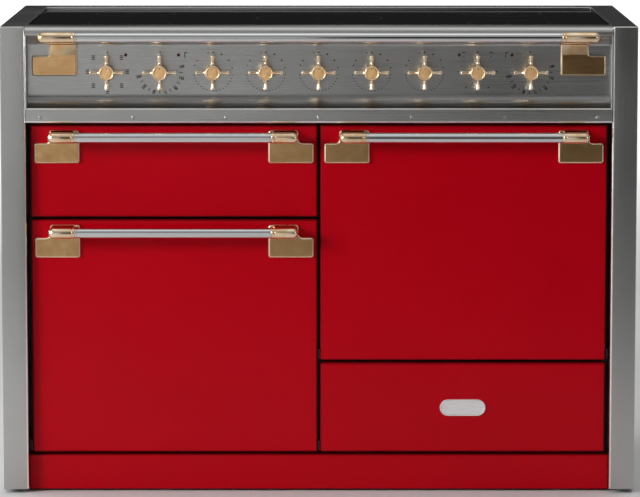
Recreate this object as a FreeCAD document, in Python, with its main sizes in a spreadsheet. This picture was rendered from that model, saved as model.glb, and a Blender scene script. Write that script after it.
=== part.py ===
"""Free-standing induction range: black glass hob, coved control panel with nine cross knobs,
two drop-down oven doors, a pull-out broiler and a storage drawer.

Millimetres, +Z up, the front faces -Y, the floor is z = 0 and x = 0 is the middle of the width.
"""
import FreeCAD, Part
import Sketcher
import os
import re

SIZES = {
    # whole body
    "range_width": 1216,
    "range_height": 902,
    "body_depth": 612,
    "rail_reach": 42,
    "foot_height": 8,
    "foot_radius": 20,
    "foot_inset": 70,
    "cheek_width": 48.5,
    "gauge": 2,
    "top_lip": 12,
    "slack": 0.3,
    # layout of the red fronts
    "side_gap": 7.5,
    "door_gap": 6,
    "door_setback": 20,
    "door_thickness": 42,
    "front_depth": 22,
    "front_round": 3,
    "liner_inset": 1,
    "seal_gap": 3,
    "seal_margin": 6,
    "seal_width": 10,
    "kick_clear": 4,
    "kick_height": 67.5,
    "kick_setback": 1,
    "base_flange": 30,
    "cooling_slot_length": 93,
    "cooling_slot_height": 19,
    "fascia_height": 184,
    "broiler_front_height": 176.5,
    "storage_front_height": 173.5,
    # coved control panel
    "fascia_proud": 2,
    "nose_depth": 50,
    "nose_round": 4,
    "panel_recess": 28,
    "band_height": 16,
    "band_slope": 20,
    "lip_height": 28.5,
    "lip_round": 4,
    "cove_round": 26,
    "fascia_cap": 11,
    "sill_depth": 40,
    "screw_inset": 28,
    "screw_height": 11,
    "screw_radius": 2,
    "screw_head_radius": 3.6,
    "screw_head_height": 1.6,
    "screw_length": 12,
    "screw_fit": 0.1,
    # hob
    "glass_drop": 5,
    "glass_thickness": 4,
    "glass_gap": 0.5,
    "tray_depth": 35,
    "vent_depth": 56,
    "vent_slot_width": 6,
    "vent_slot_length": 30,
    "vent_slot_pitch": 12,
    "vent_end_margin": 24,
    "coil_small_radius": 80,
    "coil_large_radius": 125,
    "coil_side_margin": 190,
    "coil_row_margin": 118,
    "coil_thickness": 24,
    "coil_hole_radius": 18,
    "board_length": 300,
    "board_width": 200,
    "board_height": 38,
    "board_margin": 150,
    # hand rail and door handles
    "bar_radius": 10,
    "ferrule_radius": 10.7,
    "spigot_radius": 6,
    "spigot_length": 14,
    "ferrule_length": 51,
    "rail_ferrule_length": 71,
    "rail_drop": 18.5,
    "rail_plate_drop": 57,
    "bar_drop": 20,
    "bar_standoff": 45,
    "plate_top_rise": 11,
    "plate_width": 87,
    "plate_height": 64,
    "plate_low_height": 39,
    "plate_step": 29,
    "plate_thickness": 7,
    "plate_round": 5,
    "plate_bevel": 1.6,
    "arm_half_height": 7.5,
    "bracket_inset": 7,
    # cross knobs, switches and lamps
    "knob_margin": 155.5,
    "knob_drop": 88,
    "knob_clear": 0.5,
    "knob_height": 38,
    "skirt_radius": 13,
    "skirt_height": 4,
    "neck_radius": 8,
    "boss_radius": 14,
    "boss_depth": 17,
    "rim_width": 2.6,
    "dish_depth": 2.2,
    "arm_level": 28,
    "arm_reach": 33,
    "arm_root_radius": 2.9,
    "arm_tip_radius": 4.3,
    "spindle_radius": 3,
    "spindle_bore_depth": 15,
    "spindle_clear": 1.2,
    "spindle_end_gap": 4,
    "running_fit": 0.05,
    "switch_half": 17,
    "switch_depth": 26,
    "lamp_radius": 3.2,
    "lamp_proud": 1.5,
    "lamp_length": 9,
    "lamp_rise": 32,
    "lamp_offset": 35,
    "lamp_fit": 0.1,
    # ovens, broiler and storage
    "service_depth": 123,
    "cavity_side": 55,
    "cavity_low": 45,
    "cavity_high": 38,
    "cavity_flange": 12,
    "broiler_side": 42,
    "broiler_low_margin": 25,
    "broiler_high_margin": 22,
    "storage_side": 26,
    "storage_low_margin": 15,
    "storage_high_margin": 13,
    "storage_clear": 4,
    "storage_box_drop": 40,
    "storage_tail": 30,
    "runner_width": 14,
    "runner_thickness": 6,
    "runner_guide": 2.5,
    "runner_guide_height": 20,
    # hinges of the oven doors
    "hinge_back": 10,
    "hinge_up": 12,
    "pin_radius": 4,
    "pin_clear": 0.6,
    "lug_half": 7.5,
    "lug_width": 14,
    "hinge_plate": 3,
    "hinge_plate_gap": 1.5,
    "hinge_plate_half": 9,
    # oven fittings
    "motor_radius": 38,
    "motor_length": 65,
    "shaft_radius": 4,
    "shaft_length": 40,
    "fan_radius": 70,
    "fan_depth": 16,
    "fan_gap": 5,
    "hub_radius": 13,
    "blade_thickness": 2,
    "cover_half_width": 120,
    "cover_half_height": 112,
    "cover_depth": 34,
    "cover_hole_radius": 12,
    "cover_hole_circle": 36,
    "cover_vent_front": 8,
    "cover_vent_rear": 4,
    "ring_radius": 90,
    "ring_tube_radius": 4,
    "ring_back": 14,
    "guide_front": 30,
    "guide_margin": 40,
    "ledge_width": 12,
    "ledge_thickness": 5,
    "rack_front": 50,
    "rack_rod_radius": 3,
    "rack_cross_radius": 2.5,
    "rack_wire_radius": 2,
    # broiler fittings
    "ledge_rise": 18,
    "rail_height": 18,
    "rail_width": 9,
    "rail_tail": 20,
    "carriage_gap": 3,
    "pan_side_gap": 6,
    "pan_depth": 24,
    "pan_wall": 1.5,
    "pan_rim": 10,
    "pan_front_gap": 15,
    "grid_end_radius": 3,
    "grid_wire_radius": 2,
    "element_radius": 4,
    "element_drop": 16,
    "element_margin": 40,
    # badge and supply
    "badge_half_width": 44,
    "badge_half_height": 16,
    "badge_thickness": 3,
    "supply_box_half_width": 60,
    "supply_box_half_height": 50,
    "supply_box_depth": 50,
    "gland_radius": 16,
    "gland_bore": 12,
    "gland_length": 22,
    "gland_fit": 0.1,
}

PLACES = {
    "half": "range_width / 2",
    "inner_half": "half - cheek_width",
    "skin_half": "half - gauge",
    "front": "(rail_reach - body_depth) / 2",
    "back": "front + body_depth",
    "panel_back": "back - gauge",
    "door_face": "front + door_setback",
    "skin_rear": "door_face + front_depth",
    "door_rear": "door_face + door_thickness",
    "frame_face": "door_rear + seal_gap",
    "frame_rear": "frame_face + gauge",
    "cavity_back": "panel_back - service_depth",
    "col_out": "inner_half - side_gap",
    "col_in": "door_gap / 2",
    "col_mid": "(col_out + col_in) / 2",
    "fronts_low": "kick_clear + kick_height + door_gap",
    "fascia_low": "range_height - fascia_height",
    "fronts_high": "fascia_low - door_gap",
    "broiler_low": "fronts_high - broiler_front_height",
    "left_door_high": "broiler_low - door_gap",
    "storage_high": "fronts_low + storage_front_height",
    "right_door_low": "storage_high + door_gap",
    "base_top": "foot_height + gauge",
    "lip_level": "range_height - top_lip",
    "glass_top": "range_height - glass_drop",
    "tray_top": "glass_top - glass_thickness",
    "tray_low": "tray_top - tray_depth",
    "hob_front": "front + nose_depth",
    "hob_rear": "back - vent_depth",
    "fascia_front": "front - fascia_proud",
    "face": "front + panel_recess",
    "face_rear": "face + gauge",
    "band_low": "range_height - band_height",
    "face_high": "band_low - band_slope",
    "lip_high": "fascia_low + lip_height",
    "rail_z": "range_height - rail_drop",
    "rail_y": "front - rail_reach + ferrule_radius",
    "bar_y": "door_face - bar_standoff",
    "knob_z": "range_height - knob_drop",
    "knob_span": "inner_half - knob_margin",
    "knob_base": "face - knob_clear",
    "hinge_y": "door_face + hinge_back",
    "storage_box_low": "fronts_low + storage_low_margin + storage_clear",
    "storage_box_left": "col_in + storage_side + storage_clear",
    "storage_box_right": "col_out - storage_side - storage_clear",
    "broiler_left": "-col_out + broiler_side",
    "broiler_right": "-col_in - broiler_side",
    "broiler_floor": "broiler_low + broiler_low_margin",
    "broiler_roof": "fronts_high - broiler_high_margin",
    "ledge_top": "broiler_floor + ledge_rise + runner_thickness",
    "rail_top": "ledge_top + slack + rail_height",
    "pan_top": "rail_top + pan_wall",
    "pan_front": "door_rear + pan_front_gap",
    "pan_back": "cavity_back - rail_tail - pan_front_gap",
    "ring_leg_radius": "ring_tube_radius * 0.8",
    "header_half": "element_radius * 1.5",
    "arm_tip_round": "arm_tip_radius * 0.8",
    "vent_slot_low": "-inner_half + vent_end_margin",
    "vent_slot_count": "floor((2 * inner_half - 2 * vent_end_margin) / vent_slot_pitch)",
    "supply_x": "col_mid",
    "supply_z": "fronts_high - supply_box_half_height",
}

TURNS = {
    "x": FreeCAD.Rotation(FreeCAD.Vector(0, 1, 0), 90),
    "y": FreeCAD.Rotation(FreeCAD.Vector(1, 0, 0), -90),
    "z": FreeCAD.Rotation(),
}

doc = FreeCAD.newDocument("induction_range")
dims = doc.addObject("Spreadsheet::Sheet", "dims")
for row, (alias, size) in enumerate(SIZES.items(), start=1):
    dims.set(f"A{row}", alias.replace("_", " "))
    dims.set(f"B{row}", str(size))
    dims.setAlias(f"B{row}", alias)
doc.recompute()

nodes = {}
CLOSE = 1e-3


def formula(text):
    """Writes a length given in size and place names as an expression on the sheet's cells."""
    def swap(match):
        word = match.group()
        if word in PLACES:
            return "(" + formula(PLACES[word]) + ")"
        return "dims." + word if word in SIZES else word
    return re.sub(r"[A-Za-z_][A-Za-z_0-9]*", swap, text)


def number(text):
    """Value of a length at the present sizes."""
    return float(dims.evalExpression(formula(text)))


def bind(item, prop, text):
    item.setExpression(prop, formula(text))


def keep(node, item):
    """Marks an object as one of the named sub-parts."""
    item.Label = node
    nodes[node] = item
    return item


def set_block(item, x, y, z):
    """Sizes and places a box from its low and high limits along each axis."""
    for prop, axis, (low, high) in zip(("Length", "Width", "Height"), "xyz", (x, y, z)):
        bind(item, prop, f"({high}) - ({low})")
        bind(item, f"Placement.Base.{axis}", low)
    return item


def set_drum(item, axis, centre, radius, span):
    """Sizes and places a cylinder along one axis; centre holds its two other coordinates."""
    item.Placement = FreeCAD.Placement(FreeCAD.Vector(), TURNS[axis])
    bind(item, "Radius", radius)
    bind(item, "Height", f"({span[1]}) - ({span[0]})")
    bind(item, f"Placement.Base.{axis}", span[0])
    for other, text in zip("xyz".replace(axis, ""), centre):
        bind(item, f"Placement.Base.{other}", text)
    return item


def block(name, x, y, z):
    return set_block(doc.addObject("Part::Box", name), x, y, z)


def drum(name, axis, centre, radius, span):
    return set_drum(doc.addObject("Part::Cylinder", name), axis, centre, radius, span)


def fuse(name, *pieces):
    item = doc.addObject("Part::MultiFuse", name)
    item.Shapes = list(pieces)
    return item


def group(name, *pieces):
    item = doc.addObject("Part::Compound", name)
    item.Links = list(pieces)
    return item


def cut(name, base, *tools):
    item = doc.addObject("Part::Cut", name)
    item.Base = base
    item.Tool = tools[0] if len(tools) == 1 else fuse(f"{name}_tools", *tools)
    return item


def inset(limits, by):
    return (f"({limits[0]}) + ({by})", f"({limits[1]}) - ({by})")


def grown(limits, by):
    return (f"({limits[0]}) - ({by})", f"({limits[1]}) + ({by})")


def even(limits, count):
    """Places spread evenly between two limits, both of them included."""
    low, high = limits
    return [f"({low}) + (({high}) - ({low})) * {index} / {count - 1}" for index in range(count)]


def pan(name, x, y, z, wall, open_side):
    """Folded sheet pan: a box with one side open."""
    inner = {axis: inset(limits, wall) for axis, limits in zip("xyz", (x, y, z))}
    outer = dict(zip("xyz", (x, y, z)))
    low, high = inner[open_side[1]]
    axis = open_side[1]
    inner[axis] = (outer[axis][0], high) if open_side[0] == "-" else (low, outer[axis][1])
    hollow = block(f"{name}_hollow", inner["x"], inner["y"], inner["z"])
    return cut(name, block(f"{name}_outer", x, y, z), hollow)


def add_block(body, name, x, y, z, kind="Additive"):
    return set_block(body.newObject(f"PartDesign::{kind}Box", name), x, y, z)


def add_drum(body, name, axis, centre, radius, span, kind="Additive"):
    return set_drum(body.newObject(f"PartDesign::{kind}Cylinder", name), axis, centre, radius, span)


def base_feature(body, role):
    return [feature for feature in body.Origin.OriginFeatures if feature.Role == role][0]


def outline(body, name, plane, points, lift="0", raise_by="0"):
    """Closed outline of straight runs; each corner is two lengths on a base plane of the body."""
    sketch = body.newObject("Sketcher::SketchObject", name)
    sketch.AttachmentSupport = [(base_feature(body, plane), "")]
    sketch.MapMode = "FlatFace"
    bind(sketch, "AttachmentOffset.Base.z", lift)
    bind(sketch, "AttachmentOffset.Base.y", raise_by)
    corners = [FreeCAD.Vector(number(across), number(up), 0) for across, up in points]
    for corner, following in zip(corners, corners[1:] + corners[:1]):
        sketch.addGeometry(Part.LineSegment(corner, following))
    for index in range(len(corners)):
        following = (index + 1) % len(corners)
        sketch.addConstraint(Sketcher.Constraint("Coincident", index, 2, following, 1))
    for index, (across, up) in enumerate(points):
        for kind, text in (("DistanceX", across), ("DistanceY", up)):
            held = sketch.addConstraint(Sketcher.Constraint(kind, -1, 1, index, 1, number(text)))
            bind(sketch, f"Constraints[{held}]", text)
    return sketch


def pad(body, name, sketch, length):
    item = body.newObject("PartDesign::Pad", name)
    item.Profile = sketch
    bind(item, "Length", length)
    return item


def revolve(body, name, sketch, axis):
    item = body.newObject("PartDesign::Revolution", name)
    item.Profile = sketch
    item.ReferenceAxis = (sketch, [axis])
    item.Angle = 360
    return item


def spread(body, name, feature, count):
    """Copies a feature round the body's own Z axis."""
    item = body.newObject("PartDesign::PolarPattern", name)
    item.Originals = [feature]
    item.Axis = (base_feature(body, "Z_Axis"), [""])
    item.Angle = 360
    item.Occurrences = count
    body.Tip = item
    return item


def soften(body, name, radius, chosen, kind="Fillet"):
    """Rounds or bevels the edges of the body so far that pass the test."""
    doc.recompute()
    last = body.Tip
    edges = enumerate(last.Shape.Edges, start=1)
    names = [f"Edge{index}" for index, edge in edges if chosen(edge)]
    item = body.newObject(f"PartDesign::{kind}", name)
    item.Base = (last, names)
    bind(item, "Radius" if kind == "Fillet" else "Size", radius)
    body.Tip = item
    return item


def along_x_at(y, z):
    """Test for a straight edge along X through the given height and depth."""
    def chosen(edge):
        box = edge.BoundBox
        level = box.YLength < CLOSE and box.ZLength < CLOSE
        return level and abs(box.YMin - number(y)) < CLOSE and abs(box.ZMin - number(z)) < CLOSE
    return chosen


# Side panels: folded stainless cheeks with a wide front, a top flange with a turned-down lip, and a
# return that runs back to the front frame.
for side, sign in (("left", -1), ("right", 1)):
    def across(low, high, sign=sign):
        return (low, high) if sign > 0 else (f"-({high})", f"-({low})")
    outer = block(f"cheek_{side}_outer", across("inner_half", "half"), ("front", "back"),
                  ("foot_height", "range_height"))
    hollow = block(f"cheek_{side}_hollow", across("inner_half + gauge", "skin_half"),
                   ("front + gauge", "back"), ("foot_height", "range_height - gauge"))
    window = block(f"cheek_{side}_window", across("inner_half", "inner_half + gauge"),
                   ("frame_face", "back"), ("foot_height", "lip_level"))
    keep(f"side_panel_{side}", cut(f"side_panel_{side}", outer, hollow, window))

# Back panel: flat sheet between the cheeks with cooling slots and the hole for the cable gland.
back_sheet = block("back_sheet", ("-skin_half", "skin_half"), ("panel_back", "back"),
                   ("foot_height", "lip_level"))
back_holes = [drum("gland_hole", "y", ("supply_x", "supply_z"), "gland_radius + gland_fit",
                   ("panel_back", "back"))]
COOLING_SLOT_COUNT = 8
cooling_z = ("tray_low - board_height", "tray_low - board_height + cooling_slot_height")
for index in range(COOLING_SLOT_COUNT):
    middle = f"-inner_half + 2 * inner_half * {index + 0.5} / {COOLING_SLOT_COUNT}"
    back_holes.append(block(f"cooling_slot_{index + 1}", grown((middle, middle), "cooling_slot_length / 2"),
                            ("panel_back", "back"), cooling_z))
keep("back_panel", cut("back_panel", back_sheet, *back_holes))

# Base tray on four round levelling feet.
keep("base_tray", pan("base_tray", ("-skin_half", "skin_half"), ("frame_rear", "panel_back"),
                      ("foot_height", "foot_height + base_flange"), "gauge", "+z"))
feet = []
for side, sign in (("left", "-"), ("right", "")):
    for row, depth in (("front", "frame_rear + foot_inset"), ("rear", "panel_back - foot_inset")):
        spot = (f"{sign}(half - foot_inset)", depth)
        feet.append(drum(f"foot_{side}_{row}", "z", spot, "foot_radius", ("0", "foot_height")))
keep("levelling_feet", group("levelling_feet", *feet))

# Kick plate: enamelled pan between the cheeks, under the fronts.
kick_y = ("door_face + kick_setback", "frame_face")
keep("kick_plate", pan("kick_plate", ("-inner_half", "inner_half"), kick_y,
                       ("kick_clear", "kick_clear + kick_height"), "gauge", "+y"))

# Ovens: each one has a drop-down door in its own column.
OVENS = {
    "left": {"x": ("-col_out", "-col_in"), "z": ("fronts_low", "left_door_high"), "mid": "-col_mid"},
    "right": {"x": ("col_in", "col_out"), "z": ("right_door_low", "fronts_high"), "mid": "col_mid"},
}
for oven in OVENS.values():
    oven["inside_x"] = inset(oven["x"], "cavity_side")
    oven["inside_z"] = (f"{oven['z'][0]} + cavity_low", f"{oven['z'][1]} - cavity_high")
    oven["fan_z"] = f"({oven['inside_z'][0]} + {oven['inside_z'][1]}) / 2"
    oven["hinge_z"] = f"{oven['z'][0]} + hinge_up"
broiler_x = ("broiler_left", "broiler_right")
broiler_z = ("broiler_floor", "broiler_roof")
storage_x = ("col_in + storage_side", "col_out - storage_side")
storage_z = ("fronts_low + storage_low_margin", "storage_high - storage_high_margin")

# Front frame: black sheet behind the doors with one opening for each compartment.
frame_sheet = block("frame_sheet", ("-skin_half", "skin_half"), ("frame_face", "frame_rear"),
                    ("foot_height", "fascia_low + base_flange"))
frame_y = ("frame_face", "frame_rear")
frame_holes = [
    block("broiler_opening", broiler_x, frame_y, broiler_z),
    block("storage_opening", storage_x, frame_y, storage_z),
]
for side, oven in OVENS.items():
    frame_holes.append(block(f"{side}_oven_opening", oven["inside_x"], frame_y, oven["inside_z"]))
keep("front_frame", cut("front_frame", frame_sheet, *frame_holes))


def cavity(name, x, z, *holes):
    """Enamelled steel box behind an opening of the frame: flat sheets welded edge to face, with a flange of
    four strips round the mouth."""
    outer_x, outer_z = grown(x, "gauge"), grown(z, "gauge")
    flange_x, flange_z = grown(x, "cavity_flange"), grown(z, "cavity_flange")
    wall_y = ("frame_rear", "cavity_back")
    flange_y = ("frame_rear", "frame_rear + gauge")
    rear = block(f"{name}_rear", outer_x, ("cavity_back", "cavity_back + gauge"), outer_z)
    sheets = [
        cut(f"{name}_rear_sheet", rear, *holes) if holes else rear,
        block(f"{name}_floor", outer_x, wall_y, (outer_z[0], z[0])),
        block(f"{name}_roof", outer_x, wall_y, (z[1], outer_z[1])),
        block(f"{name}_left", (outer_x[0], x[0]), wall_y, z),
        block(f"{name}_right", (x[1], outer_x[1]), wall_y, z),
        block(f"{name}_flange_low", flange_x, flange_y, (flange_z[0], outer_z[0])),
        block(f"{name}_flange_high", flange_x, flange_y, (outer_z[1], flange_z[1])),
        block(f"{name}_flange_left", (flange_x[0], outer_x[0]), flange_y, outer_z),
        block(f"{name}_flange_right", (outer_x[1], flange_x[1]), flange_y, outer_z),
    ]
    return keep(name, group(name, *sheets))


for side, oven in OVENS.items():
    centre = (oven["mid"], oven["fan_z"])
    shaft_hole = drum(f"{side}_shaft_hole", "y", centre, "shaft_radius + slack",
                      ("cavity_back", "cavity_back + gauge"))
    cavity(f"{side}_oven_cavity", oven["inside_x"], oven["inside_z"], shaft_hole)
cavity("broiler_cavity", broiler_x, broiler_z)

# Convection fans: a motor behind each oven, its bladed wheel on a shaft through the back wall, a ring
# element round the wheel and a pierced cover over both.
FAN_BLADE_COUNT = 8
INTAKE_COUNT = 8
motors = []
covers = []
rings = []
for side, oven in OVENS.items():
    mid, fan_z = oven["mid"], oven["fan_z"]
    centre = (mid, fan_z)
    motor_span = ("cavity_back + gauge", "cavity_back + gauge + motor_length")
    can = drum(f"{side}_motor_can", "y", centre, "motor_radius", motor_span)
    shaft_way = drum(f"{side}_motor_bore", "y", centre, "shaft_radius + running_fit", motor_span)
    motors.append(cut(f"{side}_motor", can, shaft_way))

    wheel = doc.addObject("PartDesign::Body", f"{side}_oven_fan")
    add_drum(wheel, f"{side}_fan_disc", "z", ("0", "0"), "fan_radius", ("-gauge", "0"))
    add_drum(wheel, f"{side}_fan_hub", "z", ("0", "0"), "hub_radius", ("-fan_depth", "0"))
    shaft_span = ("-fan_depth", "shaft_length")
    add_drum(wheel, f"{side}_fan_shaft", "z", ("0", "0"), "shaft_radius", shaft_span)
    blade = add_block(wheel, f"{side}_fan_blade", ("hub_radius - blade_thickness", "fan_radius"),
                      ("-blade_thickness / 2", "blade_thickness / 2"), ("-fan_depth", "0"))
    spread(wheel, f"{side}_fan_blades", blade, FAN_BLADE_COUNT)
    wheel.Placement = FreeCAD.Placement(FreeCAD.Vector(), TURNS["y"])
    bind(wheel, "Placement.Base.x", mid)
    bind(wheel, "Placement.Base.y", "cavity_back - fan_gap")
    bind(wheel, "Placement.Base.z", fan_z)
    keep(f"{side}_oven_fan", wheel)

    cover = doc.addObject("PartDesign::Body", f"{side}_fan_cover")
    cover_x = ("-cover_half_width", "cover_half_width")
    cover_y = ("-cover_half_height", "cover_half_height")
    cover_span = ("-cover_depth", "0")
    vent_run = ("-ring_radius", "ring_radius")
    vent_span = ("-cover_depth + cover_vent_front", "-cover_vent_rear")
    add_block(cover, f"{side}_cover_outer", cover_x, cover_y, cover_span)
    add_block(cover, f"{side}_cover_hollow", inset(cover_x, "gauge"), inset(cover_y, "gauge"),
              ("-cover_depth + gauge", "0"), "Subtractive")
    add_block(cover, f"{side}_side_vents", cover_x, vent_run, vent_span, "Subtractive")
    add_block(cover, f"{side}_end_vents", vent_run, cover_y, vent_span, "Subtractive")
    add_drum(cover, f"{side}_intake_centre", "z", ("0", "0"), "cover_hole_radius", cover_span,
             "Subtractive")
    intake = add_drum(cover, f"{side}_intake", "z", ("cover_hole_circle", "0"), "cover_hole_radius",
                      cover_span, "Subtractive")
    spread(cover, f"{side}_intakes", intake, INTAKE_COUNT)
    cover.Placement = FreeCAD.Placement(FreeCAD.Vector(), TURNS["y"])
    bind(cover, "Placement.Base.x", mid)
    bind(cover, "Placement.Base.y", "cavity_back")
    bind(cover, "Placement.Base.z", fan_z)
    covers.append(cover)

    torus = doc.addObject("Part::Torus", f"{side}_ring_tube")
    torus.Placement = FreeCAD.Placement(FreeCAD.Vector(), TURNS["y"])
    bind(torus, "Radius1", "ring_radius")
    bind(torus, "Radius2", "ring_tube_radius")
    bind(torus, "Placement.Base.x", mid)
    bind(torus, "Placement.Base.y", "cavity_back - ring_back")
    bind(torus, "Placement.Base.z", fan_z)
    legs = [drum(f"{side}_ring_leg_{word}", "y", (mid, f"{fan_z} {sign} ring_radius"), "ring_leg_radius",
                 ("cavity_back - ring_back", "cavity_back"))
            for word, sign in (("low", "-"), ("high", "+"))]
    rings.append(fuse(f"{side}_ring_element", torus, *legs))
keep("fan_motors", group("fan_motors", *motors))
keep("fan_covers", group("fan_covers", *covers))

# Rack guides on the oven walls and one wire rack in each oven, free to slide on its ledges.
SHELF_COUNT = 4
RACK_CROSS_COUNT = 3
RACK_SPACE_COUNT = 16
guides = []
for side, oven in OVENS.items():
    (left, right), (low, high) = oven["inside_x"], oven["inside_z"]
    guide_y = ("frame_rear + guide_front", "cavity_back - cover_depth - guide_front")
    guide_z = (f"{low} + guide_margin", f"{high} - guide_margin")
    step = f"({guide_z[1]} - ({guide_z[0]}) - ledge_thickness) / {SHELF_COUNT - 1}"
    for hand, wall, sign in (("left", left, "+"), ("right", right, "-")):
        def reach(depth, wall=wall, sign=sign):
            return (wall, f"{wall} + {depth}") if sign == "+" else (f"{wall} - {depth}", wall)
        strips = [block(f"{side}_guide_{hand}_plate", reach("gauge"), guide_y, guide_z)]
        for shelf in range(SHELF_COUNT):
            level = f"{guide_z[0]} + {shelf} * {step}"
            strips.append(block(f"{side}_guide_{hand}_ledge_{shelf + 1}", reach("ledge_width"), guide_y,
                                (level, f"{level} + ledge_thickness")))
        guides.append(fuse(f"{side}_guide_{hand}", *strips))

    rack_z = f"{guide_z[0]} + {step} + ledge_thickness + slack + rack_rod_radius"
    rack_x = (f"{left} + gauge + 2 * rack_rod_radius", f"{right} - gauge - 2 * rack_rod_radius")
    rack_y = ("frame_rear + rack_front", "cavity_back - cover_depth - guide_front")
    rods = []
    for index, x in enumerate(rack_x):
        rods.append(drum(f"{side}_rack_side_{index + 1}", "y", (x, rack_z), "rack_rod_radius", rack_y))
    for index, y in enumerate(even(inset(rack_y, "rack_rod_radius"), RACK_CROSS_COUNT), start=1):
        rods.append(drum(f"{side}_rack_cross_{index}", "x", (y, rack_z), "rack_cross_radius", rack_x))
    for index, x in enumerate(even(rack_x, RACK_SPACE_COUNT + 1)[1:-1], start=1):
        rods.append(drum(f"{side}_rack_wire_{index}", "y", (x, rack_z), "rack_wire_radius",
                         inset(rack_y, "rack_rod_radius")))
    keep(f"{side}_oven_rack", fuse(f"{side}_oven_rack", *rods))
keep("rack_guides", group("rack_guides", *guides))

# Door seals: a gasket round each oven opening, on the front frame.
seals = []
for side, oven in OVENS.items():
    inner_x, inner_z = grown(oven["inside_x"], "seal_margin"), grown(oven["inside_z"], "seal_margin")
    seal_y = ("door_rear + slack", "frame_face")
    seal_outer = block(f"{side}_seal_outer", grown(inner_x, "seal_width"), seal_y,
                       grown(inner_z, "seal_width"))
    seals.append(cut(f"{side}_seal", seal_outer, block(f"{side}_seal_inner", inner_x, seal_y, inner_z)))
keep("oven_door_seals", group("oven_door_seals", *seals))


def front_skin(name, x, z):
    """Enamelled front: a pan of sheet with rounded edges, open at the back."""
    body = doc.addObject("PartDesign::Body", name)
    add_block(body, f"{name}_outer", x, ("door_face", "skin_rear"), z)
    soften(body, f"{name}_edges", "front_round",
           lambda edge: edge.BoundBox.YMin < number("skin_rear") - CLOSE)
    add_block(body, f"{name}_hollow", inset(x, "gauge"), ("door_face + gauge", "skin_rear"),
              inset(z, "gauge"), "Subtractive")
    return body


def liner(name, x, z):
    """Inner pan behind a front, open towards it."""
    return pan(name, inset(x, "liner_inset"), ("skin_rear", "door_rear"), inset(z, "liner_inset"),
               "gauge", "-y")


# Oven doors: enamelled skin and steel liner on two hinge pins low down in the side gaps.
hinges = []
for side, oven in OVENS.items():
    (low_x, high_x), hinge_z = oven["x"], oven["hinge_z"]
    hinge_at = ("hinge_y", hinge_z)
    pin_holes = []
    lugs = []
    bores = []
    for hand, edge, sign in (("left", low_x, "+"), ("right", high_x, "-")):
        def inward(near, far, edge=edge, sign=sign):
            limits = (f"{edge} {sign} ({near})", f"{edge} {sign} ({far})")
            return limits if sign == "+" else limits[::-1]
        name = f"{side}_{hand}"
        lug_x = inward("gauge + slack", "gauge + lug_width")
        pin_holes.append(drum(f"{name}_pin_hole", "x", hinge_at, "pin_radius + pin_clear",
                              inward("0", "gauge")))
        lugs.append(block(f"{name}_lug", lug_x, ("hinge_y - lug_half", "door_rear - gauge"),
                          (f"{hinge_z} - lug_half", f"{hinge_z} + lug_half")))
        bores.append(drum(f"{name}_lug_bore", "x", hinge_at, "pin_radius + running_fit", lug_x))
        plate = block(f"{name}_hinge_plate", inward("-hinge_plate_gap - hinge_plate", "-hinge_plate_gap"),
                      ("hinge_y - hinge_plate_half", "frame_face"),
                      (f"{hinge_z} - hinge_plate_half", f"{hinge_z} + hinge_plate_half"))
        pin = drum(f"{name}_hinge_pin", "x", hinge_at, "pin_radius",
                   inward("-hinge_plate_gap - hinge_plate", "lug_width"))
        hinges.append(fuse(f"{name}_hinge", plate, pin))
    skin = front_skin(f"{side}_door_skin", oven["x"], oven["z"])
    keep(f"{side}_oven_door_panel", cut(f"{side}_oven_door_panel", skin, *pin_holes))
    inner_pan = fuse(f"{side}_door_pan_lugs", liner(f"{side}_door_pan", oven["x"], oven["z"]), *lugs)
    keep(f"{side}_oven_door_liner", cut(f"{side}_oven_door_liner", inner_pan, *bores))
keep("door_hinges", group("door_hinges", *hinges))


def bar(name, axis_y, axis_z, x):
    """Polished steel bar with a turned-down spigot at each end."""
    return fuse(name, drum(f"{name}_rod", "x", (axis_y, axis_z), "bar_radius", x),
                drum(f"{name}_spigots", "x", (axis_y, axis_z), "spigot_radius", grown(x, "spigot_length")))


def ferrule(body, name, axis_y, axis_z, outer_end, inner_end, sign):
    """Round end socket of a bracket: domed outside, bored inside for the spigot of the bar."""
    dome = f"{outer_end} {sign} ferrule_radius"
    span = (dome, inner_end) if sign == "+" else (inner_end, dome)
    add_drum(body, f"{name}_ferrule", "x", (axis_y, axis_z), "ferrule_radius", span)
    ball = body.newObject("PartDesign::AdditiveSphere", f"{name}_dome")
    bind(ball, "Radius", "ferrule_radius")
    for axis, text in zip("xyz", (dome, axis_y, axis_z)):
        bind(ball, f"Placement.Base.{axis}", text)
    bottom = f"{inner_end} {'-' if sign == '+' else '+'} spigot_length"
    socket = (bottom, inner_end) if sign == "+" else (inner_end, bottom)
    add_drum(body, f"{name}_socket", "x", (axis_y, axis_z), "spigot_radius + running_fit", socket,
             "Subtractive")


def plate_edges(y):
    """Tests for the upright corners of a bracket plate and for the edges round its front."""
    def corners(edge):
        return edge.BoundBox.XLength < CLOSE and edge.BoundBox.ZLength < CLOSE

    def rim(edge):
        return edge.BoundBox.YLength < CLOSE and abs(edge.BoundBox.YMin - number(y)) < CLOSE
    return corners, rim


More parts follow.
